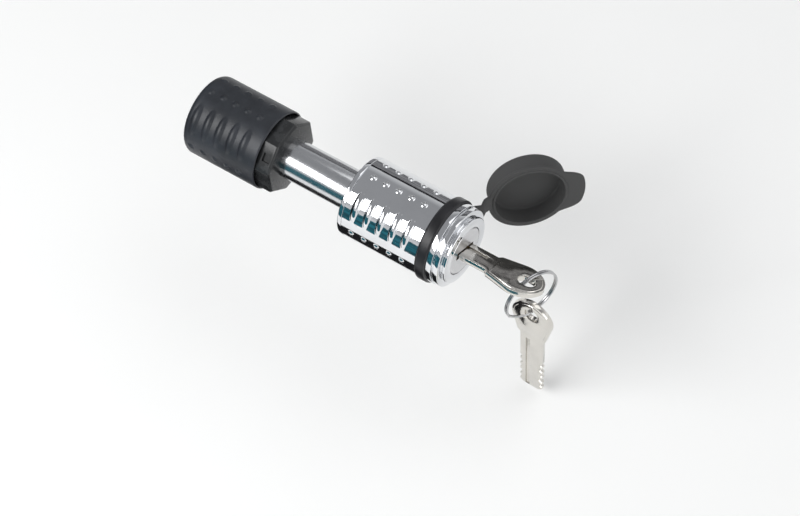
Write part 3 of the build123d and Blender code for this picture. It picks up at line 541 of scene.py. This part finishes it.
def grip_lift(x, angle, first_x, softness, share):
    """How far the grip pattern stands out at a place on a head."""
    g = grip()
    unit = 2 * pi / g.units
    phase = (angle - g.middle + unit / 2) % unit - unit / 2
    step = min(max(round((x - first_x) / g.pitch), 0), g.count - 1)
    along = x - first_x - step * g.pitch
    top = g.radius + g.rib_height
    offset = (top ** 2 - g.radius ** 2) / (2 * (top - g.radius * cos(g.rib_arc)))
    disc = top - offset
    low = -g.rib_height
    rib = low
    if abs(along) < g.rib_edge and abs(phase) < RIB_REACH:
        crest = offset * cos(phase) + sqrt(disc ** 2 - (offset * sin(phase)) ** 2) - g.radius
        rib = crest - g.rib_edge + sqrt(g.rib_edge ** 2 - along ** 2)
    ball = (g.dot_radius ** 2 + g.dot_height ** 2) / (2 * g.dot_height)
    away = hypot(along, g.radius * min(abs(phase - row) for row in DOT_ROWS))
    dot = sqrt(ball ** 2 - away ** 2) - ball + g.dot_height if away < ball else low
    raw = max(rib, dot, low)
    return share * (raw + sqrt(raw ** 2 + softness ** 2)) / 2


def raise_grip(bm, first_x, start, end, softness, share):
    """Lifts a head's outer surface into its ribs and dots."""
    radius = grip().radius
    for vert in bm.verts:
        reach = hypot(vert.co.y, vert.co.z)
        if abs(reach - radius) > 0.01 * MM or not start < vert.co.x < end:
            continue
        lift = grip_lift(vert.co.x, atan2(vert.co.z, vert.co.y), first_x, softness, share)
        scale = (reach + lift) / reach
        vert.co.y *= scale
        vert.co.z *= scale


def eased(share):
    """0 to 1 with soft ends, held outside that range."""
    share = min(max(share, 0.0), 1.0)
    return share * share * (3 - 2 * share)


def spaced(start, end, step):
    """Places from start to end, about step apart."""
    count = ceil((end - start) / step)
    return [start + (end - start) * index / count for index in range(count + 1)]


# ---- Pieces ----

class LOCK_OT_barrel(bpy.types.Operator):
    """Chrome barrel with its grip pattern and stepped front"""
    bl_idname = "lock.barrel"
    bl_label = "Barrel"

    def execute(self, context):
        s, radius = head(), grip().radius
        edge, rear, seat = s.edge, HEAD_X + s.plate, HEAD_X + s.band_start
        steps = [(s.band_end, s.first_ring), (s.first_ring_end, s.first_ring),
                 (s.first_ring_end, s.first_groove), (s.first_groove_end, s.first_groove),
                 (s.first_groove_end, s.second_ring), (s.second_ring_end, s.second_ring),
                 (s.second_ring_end, s.second_groove), (s.second_groove_end, s.second_groove),
                 (s.second_groove_end, s.face_ring), (s.face, s.face_ring)]
        front = [(HEAD_X + x, r) for x, r in steps]
        grip_part = [(x, radius) for x in spaced(rear + edge, seat - edge, 0.22 * MM)]
        outside = [(rear, s.chamber), (rear, radius - edge), *grip_part, (seat, radius - edge),
                   (seat, s.band_seat), (HEAD_X + s.band_end, s.band_seat), *front]
        inside = [(FACE_X, s.bore), (HEAD_X + s.chamber_end, s.bore),
                  (HEAD_X + s.chamber_end, s.chamber)]
        bm = turned(outside + inside, 400)
        round_rings(bm, front[:-1], 0.18 * MM)
        round_rings(bm, front[-1:], 0.45 * MM, 4)
        round_rings(bm, inside[:1], 0.12 * MM)
        raise_grip(bm, HEAD_X + grip().head_first, rear + 2 * edge, seat - 2 * edge, 0.07 * MM, 1.0)
        finished(bm, "chrome_barrel", chrome_finish(), "lock_head", ["lock_housing"])
        return {"FINISHED"}


class LOCK_OT_rear_plate(bpy.types.Operator):
    """Chrome disc that closes the back of the barrel"""
    bl_idname = "lock.rear_plate"
    bl_label = "Rear plate"

    def execute(self, context):
        s, radius = head(), grip().radius
        bore = pin().pin_end + 0.08 * MM
        spigot, inner = s.chamber - 0.02 * MM, s.chamber - 0.02 * MM - s.plate_wall
        start, end = HEAD_X, HEAD_X + s.plate
        spigot_end = end + 2 * MM
        outer = [(start, radius), (end, radius)]
        bm = turned([(start, bore), *outer, (end, spigot), (spigot_end, spigot),
                     (spigot_end, inner), (end, inner), (end, bore)], 256)
        round_rings(bm, outer[:1], 0.5 * MM, 4)
        round_rings(bm, outer[1:], s.edge)
        round_rings(bm, [(start, bore)], 0.3 * MM)
        finished(bm, "rear_disc", bpy.data.materials["chrome_plate"], "lock_head",
                 ["rear_plate"])
        return {"FINISHED"}


class LOCK_OT_sleeve(bpy.types.Operator):
    """Rubber sleeve on the fixed head"""
    bl_idname = "lock.sleeve"
    bl_label = "Rubber sleeve"

    def execute(self, context):
        p, radius = pin(), grip().radius
        fillet, mouth, bore, lip = p.sleeve_fillet, p.sleeve_mouth, p.sleeve_bore, 0.4 * MM
        floor, recess = SLEEVE_X + p.sleeve_wall, MOUTH_X - p.sleeve_wall
        barrel = [(x, radius) for x in spaced(SLEEVE_X + fillet, MOUTH_X - lip, 0.3 * MM)]
        corner = [(SLEEVE_X + fillet * (1 - sin(a)), radius - fillet * (1 - cos(a)))
                  for a in (radians(90 - 9 * step) for step in range(10))]
        end = [(SLEEVE_X, radius * share) for share in (0.0, 0.35, 0.6)]
        bm = turned([*end, *corner, *barrel, (MOUTH_X, radius - lip), (MOUTH_X, mouth),
                     (recess, mouth), (recess, bore), (floor, bore), (floor, 0.0)], 300, closed=False)
        round_rings(bm, [(MOUTH_X, mouth)], 0.25 * MM)
        raise_grip(bm, SLEEVE_X + grip().sleeve_first, SLEEVE_X + fillet * 0.5, MOUTH_X - 1 * MM,
                   0.14 * MM, 0.9)
        rubber = rubber_finish("sleeve_rubber", colours().sleeve, 0.34, 0.25)
        finished(bm, "rubber_sleeve", rubber, "shackle", ["grip_sleeve"], 60.0)
        return {"FINISHED"}


class LOCK_OT_collar(bpy.types.Operator):
    """Eight-sided black collar, and the core inside the sleeve"""
    bl_idname = "lock.collar"
    bl_label = "Collar"

    def core(self):
        """Metal core inside the sleeve, with a chamfered end."""
        p, chamfer = pin(), 1.0 * MM
        back = COLLAR_X - p.collar_long
        end = back - p.core_long
        return turned([(end, 0.0), (end, p.core - chamfer), (end + chamfer, p.core),
                       (back, p.core), (back, 0.0)], 96, closed=False)

    def octagon(self):
        """Eight-sided prism with a chamfered front and softened edges."""
        p = pin()
        back = COLLAR_X - p.collar_long
        bm = bmesh.new()
        bmesh.ops.create_circle(bm, cap_ends=True, segments=8, radius=p.collar / cos(pi / 8))
        place = Matrix.Translation((back, 0, 0)) @ Matrix.Rotation(pi / 2, 4, "Y")
        bmesh.ops.transform(bm, matrix=place, verts=bm.verts)
        now = min((atan2(v.co.z, v.co.y) for v in bm.verts), key=abs)
        bmesh.ops.rotate(bm, verts=bm.verts, cent=(0, 0, 0),
                         matrix=Matrix.Rotation(p.collar_turn - now, 3, "X"))
        grown = bmesh.ops.extrude_face_region(bm, geom=bm.faces[:])
        bmesh.ops.translate(bm, verts=moved_verts(grown), vec=(p.collar_long, 0, 0))
        bmesh.ops.recalc_face_normals(bm, faces=bm.faces)
        bevel(bm, [edge for edge in bm.edges
                   if all(abs(vert.co.x - COLLAR_X) < 0.01 * MM for vert in edge.verts)], 0.7 * MM, 1)
        bevel(bm, [edge for edge in bm.edges if edge.calc_face_angle(0) > radians(20)], 0.22 * MM, 2)
        return bm

    def recess(self, bm):
        """Square recess in one facet."""
        p = pin()
        facet = across(p.collar_turn - pi / 8)
        spot = Vector((COLLAR_X - p.mark_back, 0, 0)) + facet * p.collar
        along = Vector((1, 0, 0))

        def facets():
            return [face for face in bm.faces if face.normal.dot(facet) > 0.99]

        for axis in (along, along.cross(facet)):
            for sign in (-1, 1):
                slice_faces(bm, facets(), spot + axis * sign * p.mark_half, axis)
        mark = min(facets(), key=lambda face: (face.calc_center_median() - spot).length)
        bmesh.ops.inset_individual(bm, faces=[mark], thickness=0.08 * MM, depth=-p.mark_deep)

    def execute(self, context):
        bm = self.octagon()
        self.recess(bm)
        core = to_mesh(self.core(), "core")
        bm.from_mesh(core)
        bpy.data.meshes.remove(core)
        finished(bm, "octagon_collar", collar_finish(), "shackle", ["fixed_head"])
        return {"FINISHED"}


class LOCK_OT_pin(bpy.types.Operator):
    """Locking pin with its latch groove"""
    bl_idname = "lock.pin"
    bl_label = "Pin"

    def execute(self, context):
        p = pin()
        root, shoulder = COLLAR_X - 5 * MM, HEAD_X - 0.1 * MM
        groove, groove_end = HEAD_X + p.latch_start, HEAD_X + p.latch_end
        tip = [(PIN_TIP_X - p.tip, p.pin_end), (PIN_TIP_X, p.pin_end - p.tip)]
        profile = [(root, 0.0), (root, p.pin_root), (COLLAR_X, p.pin_root), (COLLAR_X, p.pin),
                   (shoulder, p.pin), (shoulder, p.pin_end), (groove, p.pin_end),
                   (groove, p.latch_groove), (groove_end, p.latch_groove), (groove_end, p.pin_end),
                   *tip, (PIN_TIP_X, 0.0)]
        bm = turned(profile, 192, closed=False)
        round_rings(bm, tip, 0.4 * MM)
        round_rings(bm, [(groove, p.pin_end), (groove_end, p.pin_end), (shoulder, p.pin)], 0.15 * MM)
        plate = turned_finish("pin_plate", tinted(colours().chrome, 0.88), 0.10, 0.4 * MM)
        finished(bm, "steel_pin", plate, "shackle", ["locking_pin"])
        return {"FINISHED"}


class LOCK_OT_band(bpy.types.Operator):
    """Rubber band round the barrel"""
    bl_idname = "lock.band"
    bl_label = "Band"

    def execute(self, context):
        s = head()
        start, end = HEAD_X + s.band_start, HEAD_X + s.band_end
        outer = [(start, s.band), (end, s.band)]
        bm = turned([(start, s.band_seat), *outer, (end, s.band_seat)], 256)
        round_rings(bm, outer, 0.7 * MM, 5)
        rubber = rubber_finish("cap_rubber", colours().cap, 0.30, 0.07)
        finished(bm, "rubber_band", rubber, "lock_head", ["cap_band"], 60.0)
        return {"FINISHED"}


def hinge_frame():
    """Pivot, strap direction and bending axis of the dust cap's strap."""
    joint = JOINTS["cap_hinge"]
    return Vector(joint["pos_m"]), across(cap().strap_turn), Vector(joint["axis"]).normalized()


def cap_matrix():
    """Place of the open cap: X out to the tab, Z out of the mouth, origin in the mouth."""
    pivot, outward, axis = hinge_frame()
    swing = Matrix.Rotation(cap().opened, 3, axis)
    centre = pivot + swing @ (Vector((HEAD_X + cap().seat, 0, 0)) - pivot)
    tab, mouth = swing @ -outward, swing @ Vector((-1, 0, 0))
    turned_axes = Matrix((tab, mouth.cross(tab), mouth)).transposed().to_4x4()
    return Matrix.Translation(centre) @ turned_axes


class LOCK_OT_cap(bpy.types.Operator):
    """Open dust cap with its rim and pull tab"""
    bl_idname = "lock.cap"
    bl_label = "Dust cap"

    def execute(self, context):
        c = cap()
        bottom, floor, lip = -c.deep, -c.floor, c.mouth + 0.75 * MM
        back = [(bottom, radius) for radius in (0.0, 6.0 * MM, 12.0 * MM, c.wall)]
        profile = [*back, (-c.rim_thick, c.wall), (-c.rim_thick, c.rim), (0.0, c.rim),
                   (0.0, lip + 0.15 * MM), (c.lip, lip), (c.lip, c.mouth), (floor, c.mouth),
                   (floor, 8.0 * MM), (floor, 0.0)]
        bm = turned(profile, 240, closed=False)
        round_rings(bm, [(bottom, c.wall)], 1.6 * MM, 6)
        round_rings(bm, [(c.lip, c.mouth), (c.lip, lip)], 0.12 * MM, 3)
        round_rings(bm, [(floor, c.mouth)], 0.8 * MM, 4)
        round_rings(bm, [(0.0, c.rim), (-c.rim_thick, c.rim)], 0.35 * MM, 3)
        for vert in bm.verts:
            angle = atan2(vert.co.z, vert.co.y)
            if hypot(vert.co.y, vert.co.z) > c.rim - 0.5 * MM:
                share = (c.tab_outer - abs(angle)) / (c.tab_outer - c.tab_inner)
                vert.co += across(angle) * c.tab * eased(share)
        stand = Matrix(((0, 1, 0), (0, 0, 1), (1, 0, 0))).to_4x4()
        bmesh.ops.transform(bm, matrix=cap_matrix() @ stand, verts=bm.verts)
        bmesh.ops.recalc_face_normals(bm, faces=bm.faces)
        finished(bm, "rubber_cap", bpy.data.materials["cap_rubber"], "cap",
                 ["dust_cap"], 60.0)
        return {"FINISHED"}


class LOCK_OT_strap(bpy.types.Operator):
    """Strap that bends between the band and the cap"""
    bl_idname = "lock.strap"
    bl_label = "Strap"

    def execute(self, context):
        s, c = head(), cap()
        pivot, outward, axis = hinge_frame()
        buried = 1.0 * MM
        root = Vector((HEAD_X + s.band_end - 1.8 * MM, 0, 0)) + outward * (s.band - buried)
        near_end = cap_matrix() @ Vector((-17.6 * MM, 0, 0.9 * MM))
        end = cap_matrix() @ Vector((-c.wall, 0, -c.rim_thick / 2))
        route = [root, root.lerp(pivot, 0.6), pivot, pivot.lerp(near_end, 0.5), near_end, end]
        bm = bmesh.new()
        rows = []
        for index, point in enumerate(route):
            before, after = route[max(index - 1, 0)], route[min(index + 1, len(route) - 1)]
            normal = axis.cross((after - before).normalized())
            rows.append([bm.verts.new(point + axis * c.strap_half * a + normal * c.strap_thick / 2 * b)
                         for a, b in ((-1, -1), (1, -1), (1, 1), (-1, 1))])
        for low, high in zip(rows, rows[1:]):
            for step in range(4):
                bm.faces.new((low[step], low[(step + 1) % 4], high[(step + 1) % 4], high[step]))
        bm.faces.new(rows[0])
        bm.faces.new(rows[-1][::-1])
        bmesh.ops.recalc_face_normals(bm, faces=bm.faces)
        lengthwise = [edge for edge in bm.edges
                      if not any(set(edge.verts) <= set(row) for row in rows)]
        bevel(bm, lengthwise, 0.5 * MM, 3)
        strap = finished(bm, "rubber_strap", bpy.data.materials["cap_rubber"], None,
                         (), 60.0)
        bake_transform(strap)
        return {"FINISHED"}


CUTS = tuple(depth * MM for depth in (0.9, 1.5, 0.6, 1.2, 0.8))      # same on both edges
CUT_SLOPE = 0.7             # run of a cut's side for each unit of its depth


def bow_outline(start):
    """Upper half of the bow, from its straight start round to its end."""
    k = keys()
    steps = 16
    corner = (k.bow_end - k.bow * 0.30, k.bow * 0.66)
    (x, y), radius = circle_through((k.wide_at, k.bow), corner, (k.bow_end, 0.0))
    begin, stop = atan2(k.bow - y, k.wide_at - x), atan2(-y, sqrt(radius ** 2 - y ** 2))
    angles = [begin + (stop - begin) * step / steps for step in range(steps + 1)]
    return [(start, k.neck_half), *((x + radius * cos(a), y + radius * sin(a)) for a in angles)]


def blade_outline():
    """Upper half of the blade, from its tip to the start of the neck, with its cuts."""
    k = keys()
    outline = [(-k.tip, k.tip_half), (k.tip_bevel - k.tip, k.blade)]
    for step, depth in enumerate(CUTS):
        middle = step * k.cut_pitch - k.first_cut
        reach = k.cut_flat + depth * CUT_SLOPE
        outline += [(middle - reach, k.blade), (middle - k.cut_flat, k.blade - depth),
                    (middle + k.cut_flat, k.blade - depth), (middle + reach, k.blade)]
    return [*outline, (k.shoulder, k.blade)]


def circle_through(a, b, c):
    """Centre and radius of the circle through three points."""
    ax, ay, bx, by, cx, cy = *a, *b, *c
    d = 2 * (ax * (by - cy) + bx * (cy - ay) + cx * (ay - by))
    sa, sb, sc = ax * ax + ay * ay, bx * bx + by * by, cx * cx + cy * cy
    x = (sa * (by - cy) + sb * (cy - ay) + sc * (ay - by)) / d
    y = (sa * (cx - bx) + sb * (ax - cx) + sc * (bx - ax)) / d
    return (x, y), hypot(ax - x, ay - y)


def mirrored(points):
    """Upper outline and its mirror image below, as one loop."""
    lower = [(x, -y) for x, y in reversed(points)]
    loop = list(points)
    loop += lower[1:] if abs(points[-1][1]) < 1e-9 else lower
    return loop[:-1] if abs(points[0][1]) < 1e-9 else loop


def key_flat(bm, neck):
    """One flat side of a key, as a blade face and a bow face. Returns the bow face."""
    half = keys().thick / 2
    bow = bm.faces.new([bm.verts.new((x, y, half)) for x, y in mirrored(bow_outline(neck))])
    blade = blade_outline()
    top = [bm.verts.new((x, y, half)) for x, y in blade]
    bottom = [bm.verts.new((x, -y, half)) for x, y in reversed(blade)]
    joint = sorted(bow.verts, key=lambda vert: vert.co.x)[:2]
    lower, upper = sorted(joint, key=lambda vert: vert.co.y)
    bm.faces.new([*top, upper, lower, *bottom])
    bm.normal_update()
    return bow


def open_bow(bm, bow):
    """Steps the bow's field up from its rim and opens the elongated hole in it."""
    k = keys()
    bmesh.ops.inset_individual(bm, faces=[bow], thickness=k.bow_rim, depth=0.0, use_even_offset=True)
    bmesh.ops.inset_individual(bm, faces=[bow], thickness=0.12 * MM, depth=-k.field)
    level, field = bow.calc_center_median().z, list(bow.edges)
    bmesh.ops.delete(bm, geom=[bow], context="FACES_ONLY")
    hole = []
    for centre, begin in ((k.hole_end - k.hole_half, -90), (k.hole_start + k.hole_half, 90)):
        for step in range(13):
            angle = radians(begin + 15 * step)
            place = (centre + k.hole_half * cos(angle), k.hole_half * sin(angle), level)
            hole.append(bm.verts.new(place))
    edges = [bm.edges.new(pair) for pair in zip(hole, hole[1:] + hole[:1])]
    bmesh.ops.triangle_fill(bm, use_beauty=True, use_dissolve=False, edges=field + edges)


def groove_faces(bm, neck):
    """Marks out the blade's groove and returns its faces."""
    k = keys()

    def blade():
        return [face for face in bm.faces if face.calc_center_median().x < neck]

    for y in (-k.groove_high, -k.groove_low, k.groove_low, k.groove_high):
        slice_faces(bm, blade(), (0, y, 0), (0, 1, 0))
    slice_faces(bm, blade(), (k.groove_end, 0, 0), (1, 0, 0))
    return [face for face in bm.faces if face.calc_center_median().x < k.groove_end
            and k.groove_low < face.calc_center_median().y < k.groove_high]


def key_solid():
    """A key in its own frame: X from the key face out to the bow, Y across, Z through."""
    k = keys()
    neck = k.shoulder + k.neck
    bm = bmesh.new()
    open_bow(bm, key_flat(bm, neck))
    groove = groove_faces(bm, neck)
    walls = bmesh.ops.extrude_edge_only(bm, edges=[edge for edge in bm.edges if edge.is_boundary])
    for vert in moved_verts(walls):
        vert.co.z = 0.0
    floor = bmesh.ops.extrude_face_region(bm, geom=groove)
    bmesh.ops.translate(bm, verts=moved_verts(floor), vec=(0, 0, -k.groove_deep))
    bmesh.ops.delete(bm, geom=[face for face in groove if face.is_valid], context="FACES_ONLY")
    other = bmesh.ops.duplicate(bm, geom=bm.verts[:] + bm.edges[:] + bm.faces[:])
    bmesh.ops.rotate(bm, verts=moved_verts(other), cent=(0, 0, 0), matrix=Matrix.Rotation(pi, 3, "X"))
    bmesh.ops.remove_doubles(bm, verts=bm.verts, dist=0.004 * MM)
    bmesh.ops.recalc_face_normals(bm, faces=bm.faces)
    bevel(bm, [edge for edge in bm.edges
               if len(edge.link_faces) == 2 and edge.calc_face_angle(0) > radians(50)], k.edge, 2)
    return bm


def axes_matrix(origin, x_axis, z_axis):
    """Placement with these X and Z axes."""
    x, z = x_axis.normalized(), z_axis.normalized()
    return Matrix.Translation(origin) @ Matrix((x, z.cross(x), z)).transposed().to_4x4()


def ring_axes():
    """Ring's centre, its axis, and the direction from the centre to its lowest point."""
    centre = (RING_LOW + RING_HIGH) / 2
    normal = RING_AXIS.normalized()
    level = Vector((0, 0, 1)).cross(normal).normalized()
    down = normal.cross(level).normalized()
    return centre, normal, down if down.z < 0 else -down


class LOCK_OT_keys(bpy.types.Operator):
    """Key in the lock and the spare key on the ring"""
    bl_idname = "lock.keys"
    bl_label = "Keys"

    def execute(self, context):
        k = keys()
        nickel, along_pin = key_finish(), Vector((1, 0, 0))
        inserted = key_solid()
        place = axes_matrix(Vector((FACE_X, 0, 0)), along_pin, along_pin.cross(across(k.angle)))
        bmesh.ops.transform(inserted, matrix=place, verts=inserted.verts)
        finished(inserted, "inserted_key", nickel, "key", ["working_key"], 28.0)
        centre, normal, down = ring_axes()
        along = -(Matrix.Rotation(k.lean, 3, normal) @ down)
        width = Matrix.Rotation(k.twist, 3, along) @ normal
        hang = centre + down * (k.ring - k.hang_gap)
        spare = key_solid()
        place = axes_matrix(hang - along * k.hang_at, along, along.cross(width))
        bmesh.ops.transform(spare, matrix=place, verts=spare.verts)
        finished(spare, "hanging_key", nickel, "spare", ["spare_key"], 28.0)
        return {"FINISHED"}


class LOCK_OT_ring(bpy.types.Operator):
    """Split ring: two flat coils of wire with a step between them"""
    bl_idname = "lock.ring"
    bl_label = "Split ring"

    def execute(self, context):
        k = keys()
        centre, normal, down = ring_axes()
        begin, span, steps = 20, 660, 220           # degrees round the ring
        step_start, step_run = 340, 40              # where one coil steps over to the other
        from_top = 150                              # the wire's start, from the ring's top
        bm = bmesh.new()
        bmesh.ops.create_grid(bm, x_segments=1, y_segments=1, size=0.5)
        place = axes_matrix(centre - down * k.ring, normal, normal.cross(down))
        section = Matrix.Diagonal((k.wire_wide, k.wire_thick, 1, 1))
        bmesh.ops.transform(bm, matrix=place @ section, verts=bm.verts)
        bmesh.ops.bevel(bm, geom=bm.verts[:], offset=k.wire_edge, offset_type="OFFSET",
                        affect="VERTICES", segments=2, profile=0.5, material=-1)
        bmesh.ops.rotate(bm, verts=bm.verts, cent=centre,
                         matrix=Matrix.Rotation(radians(begin + from_top), 3, normal))

        def layer(angle):
            return (eased((angle - step_start) / step_run) - 0.5) * k.wire_wide * 1.04

        bmesh.ops.translate(bm, verts=bm.verts, vec=normal * layer(begin))
        front = bm.faces[:]
        turn_on = Matrix.Rotation(radians(span / steps), 3, normal)
        for step in range(steps):
            angle = begin + span * step / steps
            grown = bmesh.ops.extrude_face_region(bm, geom=front)
            moved = moved_verts(grown)
            bmesh.ops.rotate(bm, verts=moved, cent=centre, matrix=turn_on)
            rise = layer(angle + span / steps) - layer(angle)
            bmesh.ops.translate(bm, verts=moved, vec=normal * rise)
            if step:
                bmesh.ops.delete(bm, geom=[face for face in front if face.is_valid],
                                 context="FACES_ONLY")
            front = [item for item in grown["geom"] if isinstance(item, bmesh.types.BMFace)]
        bmesh.ops.recalc_face_normals(bm, faces=bm.faces)
        steel = steel_finish("ring_steel", tinted(colours().steel, 0.85), 0.14, "z", 0.12)
        finished(bm, "split_ring", steel, "ring", ["key_ring"], 50.0)
        return {"FINISHED"}


class LOCK_OT_inner_parts(bpy.types.Operator):
    """Finishes of the key face and of the pieces inside the heads"""
    bl_idname = "lock.inner_parts"
    bl_label = "Key face and inner pieces"

    def execute(self, context):
        c = colours()
        painted(turned_finish("key_face_steel", tinted(c.steel, 1.2), 0.20, 0.35 * MM), "plug_face")
        painted(turned_finish("cylinder_brass", c.brass, 0.24, 0.3 * MM), "cylinder_shell", "lock_plug")
        painted(steel_finish("wafer_brass", c.brass, 0.25, "y"), "tumbler_wafers")
        painted(steel_finish("latch_steel", tinted(c.steel, 0.75), 0.28, "z"), "locking_bolt",
                "tail_cam", "head_cross_pin", "shell_retaining_pin")
        painted(steel_finish("spring_steel", c.steel, 0.22, "x"), "bolt_springs", "wafer_springs",
                "tail_clip")
        painted(steel_finish("carrier_alloy", tinted(c.steel, 1.1), 0.5, "xyz"), "latch_carrier")
        # The dark ring at the barrel's rear (pin_seal) and the cylinder's O-ring get a rubber a little
        # darker than the cap's.
        painted(rubber_finish("seal_rubber", tinted(c.cap, 0.8), 0.35, 0.05), "pin_seal",
                "cylinder_o_ring")
        return {"FINISHED"}


# ---- Stage ----

# name, direction out from the lock, distance, size, brightness
SOFT_BOXES = (
    ("key_light", (-0.36, -0.62, 0.70), 0.9, (0.80, 0.42), 5.5),
    ("top_light", (0.25, 0.55, 0.9), 1.1, (0.9, 0.7), 1.1),
    ("end_light", (0.95, -0.10, 0.30), 0.9, (0.7, 0.5), 1.6),
    ("floor_light", (0.0, 0.0, 1.0), 1.3, (1.6, 1.6), 0.35),
)
# name, direction out from the lock, distance, size, glow
CARDS = (
    ("back_card", (-0.343, 0.93, 0.05), 0.52, (0.60, 0.30), (0.30, 0.30, 0.31)),
    ("edge_card", (-0.343, 0.85, 0.35), 0.48, (0.50, 0.055), (0.0, 0.0, 0.0)),
    ("cool_card", (-0.10, -0.98, 0.06), 0.26, (0.45, 0.15), (0.012, 0.16, 0.21)),
    ("side_card", (-0.98, -0.12, -0.02), 0.13, (0.22, 0.16), (0.0, 0.0, 0.0)),
    ("low_card", (0.0, -0.60, -0.80), 0.067, (0.14, 0.05), (0.0, 0.0, 0.0)),
)
CARD_SHADE = (0.02, 0.02, 0.022)
HORIZON, ZENITH = (0.88, 0.89, 0.90, 1), (0.27, 0.275, 0.285, 1)
EYE = Vector((0.38806, -0.38228, 0.87034))
EYE_RIGHT, EYE_UP = Vector((0.8254, 0.5571, -0.0919)), Vector((-0.4485, 0.7457, 0.4928))


class LOCK_OT_stage(bpy.types.Operator):
    """Floor, lights, cards and camera"""
    bl_idname = "lock.stage"
    bl_label = "Stage"

    def put(self, name, data, direction, distance):
        """Places a lamp or card out along a direction, turned to face the lock."""
        made = bpy.data.objects.new(name, data)
        reach = Vector(direction).normalized() * distance
        made.location = reach
        made.rotation_euler = (-reach).to_track_quat("-Z", "Y").to_euler()
        made.visible_camera = False
        bpy.context.scene.collection.objects.link(made)
        return made

    def soft_box(self, name, direction, distance, size, brightness):
        """Rectangular soft light that gives off the same brightness all over."""
        light = bpy.data.lights.new(name, "AREA")
        light.shape = "RECTANGLE"
        light.size, light.size_y = size
        light.energy = brightness * pi * size[0] * size[1]
        return self.put(name, light, direction, distance)

    def card(self, name, direction, distance, size, glow):
        """Card that only shows as a reflection."""
        bm = bmesh.new()
        bmesh.ops.create_grid(bm, x_segments=1, y_segments=1, size=0.5)
        bmesh.ops.transform(bm, matrix=Matrix.Diagonal((*size, 1, 1)), verts=bm.verts)
        mesh = to_mesh(bm, name)
        mesh.materials.append(card_finish(name + "_cloth", CARD_SHADE, glow))
        card = self.put(name, mesh, direction, distance)
        card.visible_diffuse = card.visible_shadow = False

    def floor(self):
        """Wide round floor, just below the spare key."""
        bm = bmesh.new()
        bmesh.ops.create_circle(bm, cap_ends=True, segments=96, radius=3.0)
        bmesh.ops.translate(bm, verts=bm.verts, vec=(0, 0, FLOOR_Z))
        mesh = to_mesh(bm, "floor")
        mesh.materials.append(floor_finish())
        floor = bpy.data.objects.new("floor", mesh)
        bpy.context.scene.collection.objects.link(floor)

    def room(self):
        """Soft room light, brightest at the horizon."""
        world = bpy.data.worlds.new("soft_room")
        world.use_nodes = True
        tree = world.node_tree
        back = tree.nodes["Background"]
        where = tree.nodes.new("ShaderNodeTexCoord")
        split = tree.nodes.new("ShaderNodeSeparateXYZ")
        ramp = tree.nodes.new("ShaderNodeValToRGB")
        low, high = ramp.color_ramp.elements
        low.position, low.color = 0.06, HORIZON
        high.position, high.color = 0.62, ZENITH
        tree.links.new(where.outputs["Generated"], split.inputs[0])
        tree.links.new(split.outputs["Z"], ramp.inputs["Fac"])
        tree.links.new(ramp.outputs["Color"], back.inputs["Color"])
        back.inputs["Strength"].default_value = 1.15
        return world

    def camera(self):
        """Camera that looks down on the lock from its key end."""
        camera = bpy.data.cameras.new("camera")
        camera.lens, camera.sensor_width = 124.5, 36.0
        eye = bpy.data.objects.new("camera", camera)
        axes = Matrix((EYE_RIGHT, EYE_UP, EYE_RIGHT.cross(EYE_UP))).transposed().to_4x4()
        eye.matrix_world = Matrix.Translation(EYE) @ axes
        bpy.context.scene.collection.objects.link(eye)
        return eye

    def execute(self, context):
        self.floor()
        boxes = [self.soft_box(*box) for box in SOFT_BOXES]
        boxes[-1].visible_glossy = False        # the floor's light is not seen in the chrome
        for card in CARDS:
            self.card(*card)
        context.scene.world = self.room()
        context.scene.camera = self.camera()
        context.scene.view_settings.view_transform = "Standard"
        return {"FINISHED"}


class LOCK_PT_panel(bpy.types.Panel):
    """Buttons for every piece, and the sizes and colours they use"""
    bl_idname = "LOCK_PT_panel"
    bl_label = "Coupler Lock"
    bl_space_type = "VIEW_3D"
    bl_region_type = "UI"
    bl_category = "Coupler Lock"

    def draw(self, context):
        layout = self.layout
        for operator in OPERATORS:
            layout.operator(operator.bl_idname)
        for group, owner in GROUPS.items():
            box = layout.box()
            settings = getattr(context.scene, group)
            for name in owner.__annotations__:
                box.prop(settings, name)


GROUPS = {"lock_grip": GripSizes, "lock_head": HeadSizes, "lock_pin": PinSizes,
          "lock_cap": CapSizes, "lock_keys": KeySizes, "lock_colours": FinishColours}
OPERATORS = (LOCK_OT_stage, LOCK_OT_barrel, LOCK_OT_rear_plate, LOCK_OT_sleeve, LOCK_OT_collar,
             LOCK_OT_pin, LOCK_OT_band, LOCK_OT_cap, LOCK_OT_strap, LOCK_OT_keys, LOCK_OT_ring,
             LOCK_OT_inner_parts)


def register():
    for group, owner in GROUPS.items():
        bpy.utils.register_class(owner)
        setattr(bpy.types.Scene, group, PointerProperty(type=owner))
    for owner in (*OPERATORS, LOCK_PT_panel):
        bpy.utils.register_class(owner)


def unregister():
    for owner in (LOCK_PT_panel, *reversed(OPERATORS)):
        bpy.utils.unregister_class(owner)
    for group, owner in GROUPS.items():
        delattr(bpy.types.Scene, group)
        bpy.utils.unregister_class(owner)


def main():
    register()
    for operator in OPERATORS:
        area, action = operator.bl_idname.split(".")
        getattr(getattr(bpy.ops, area), action)()


if __name__ == "__main__":
    main()
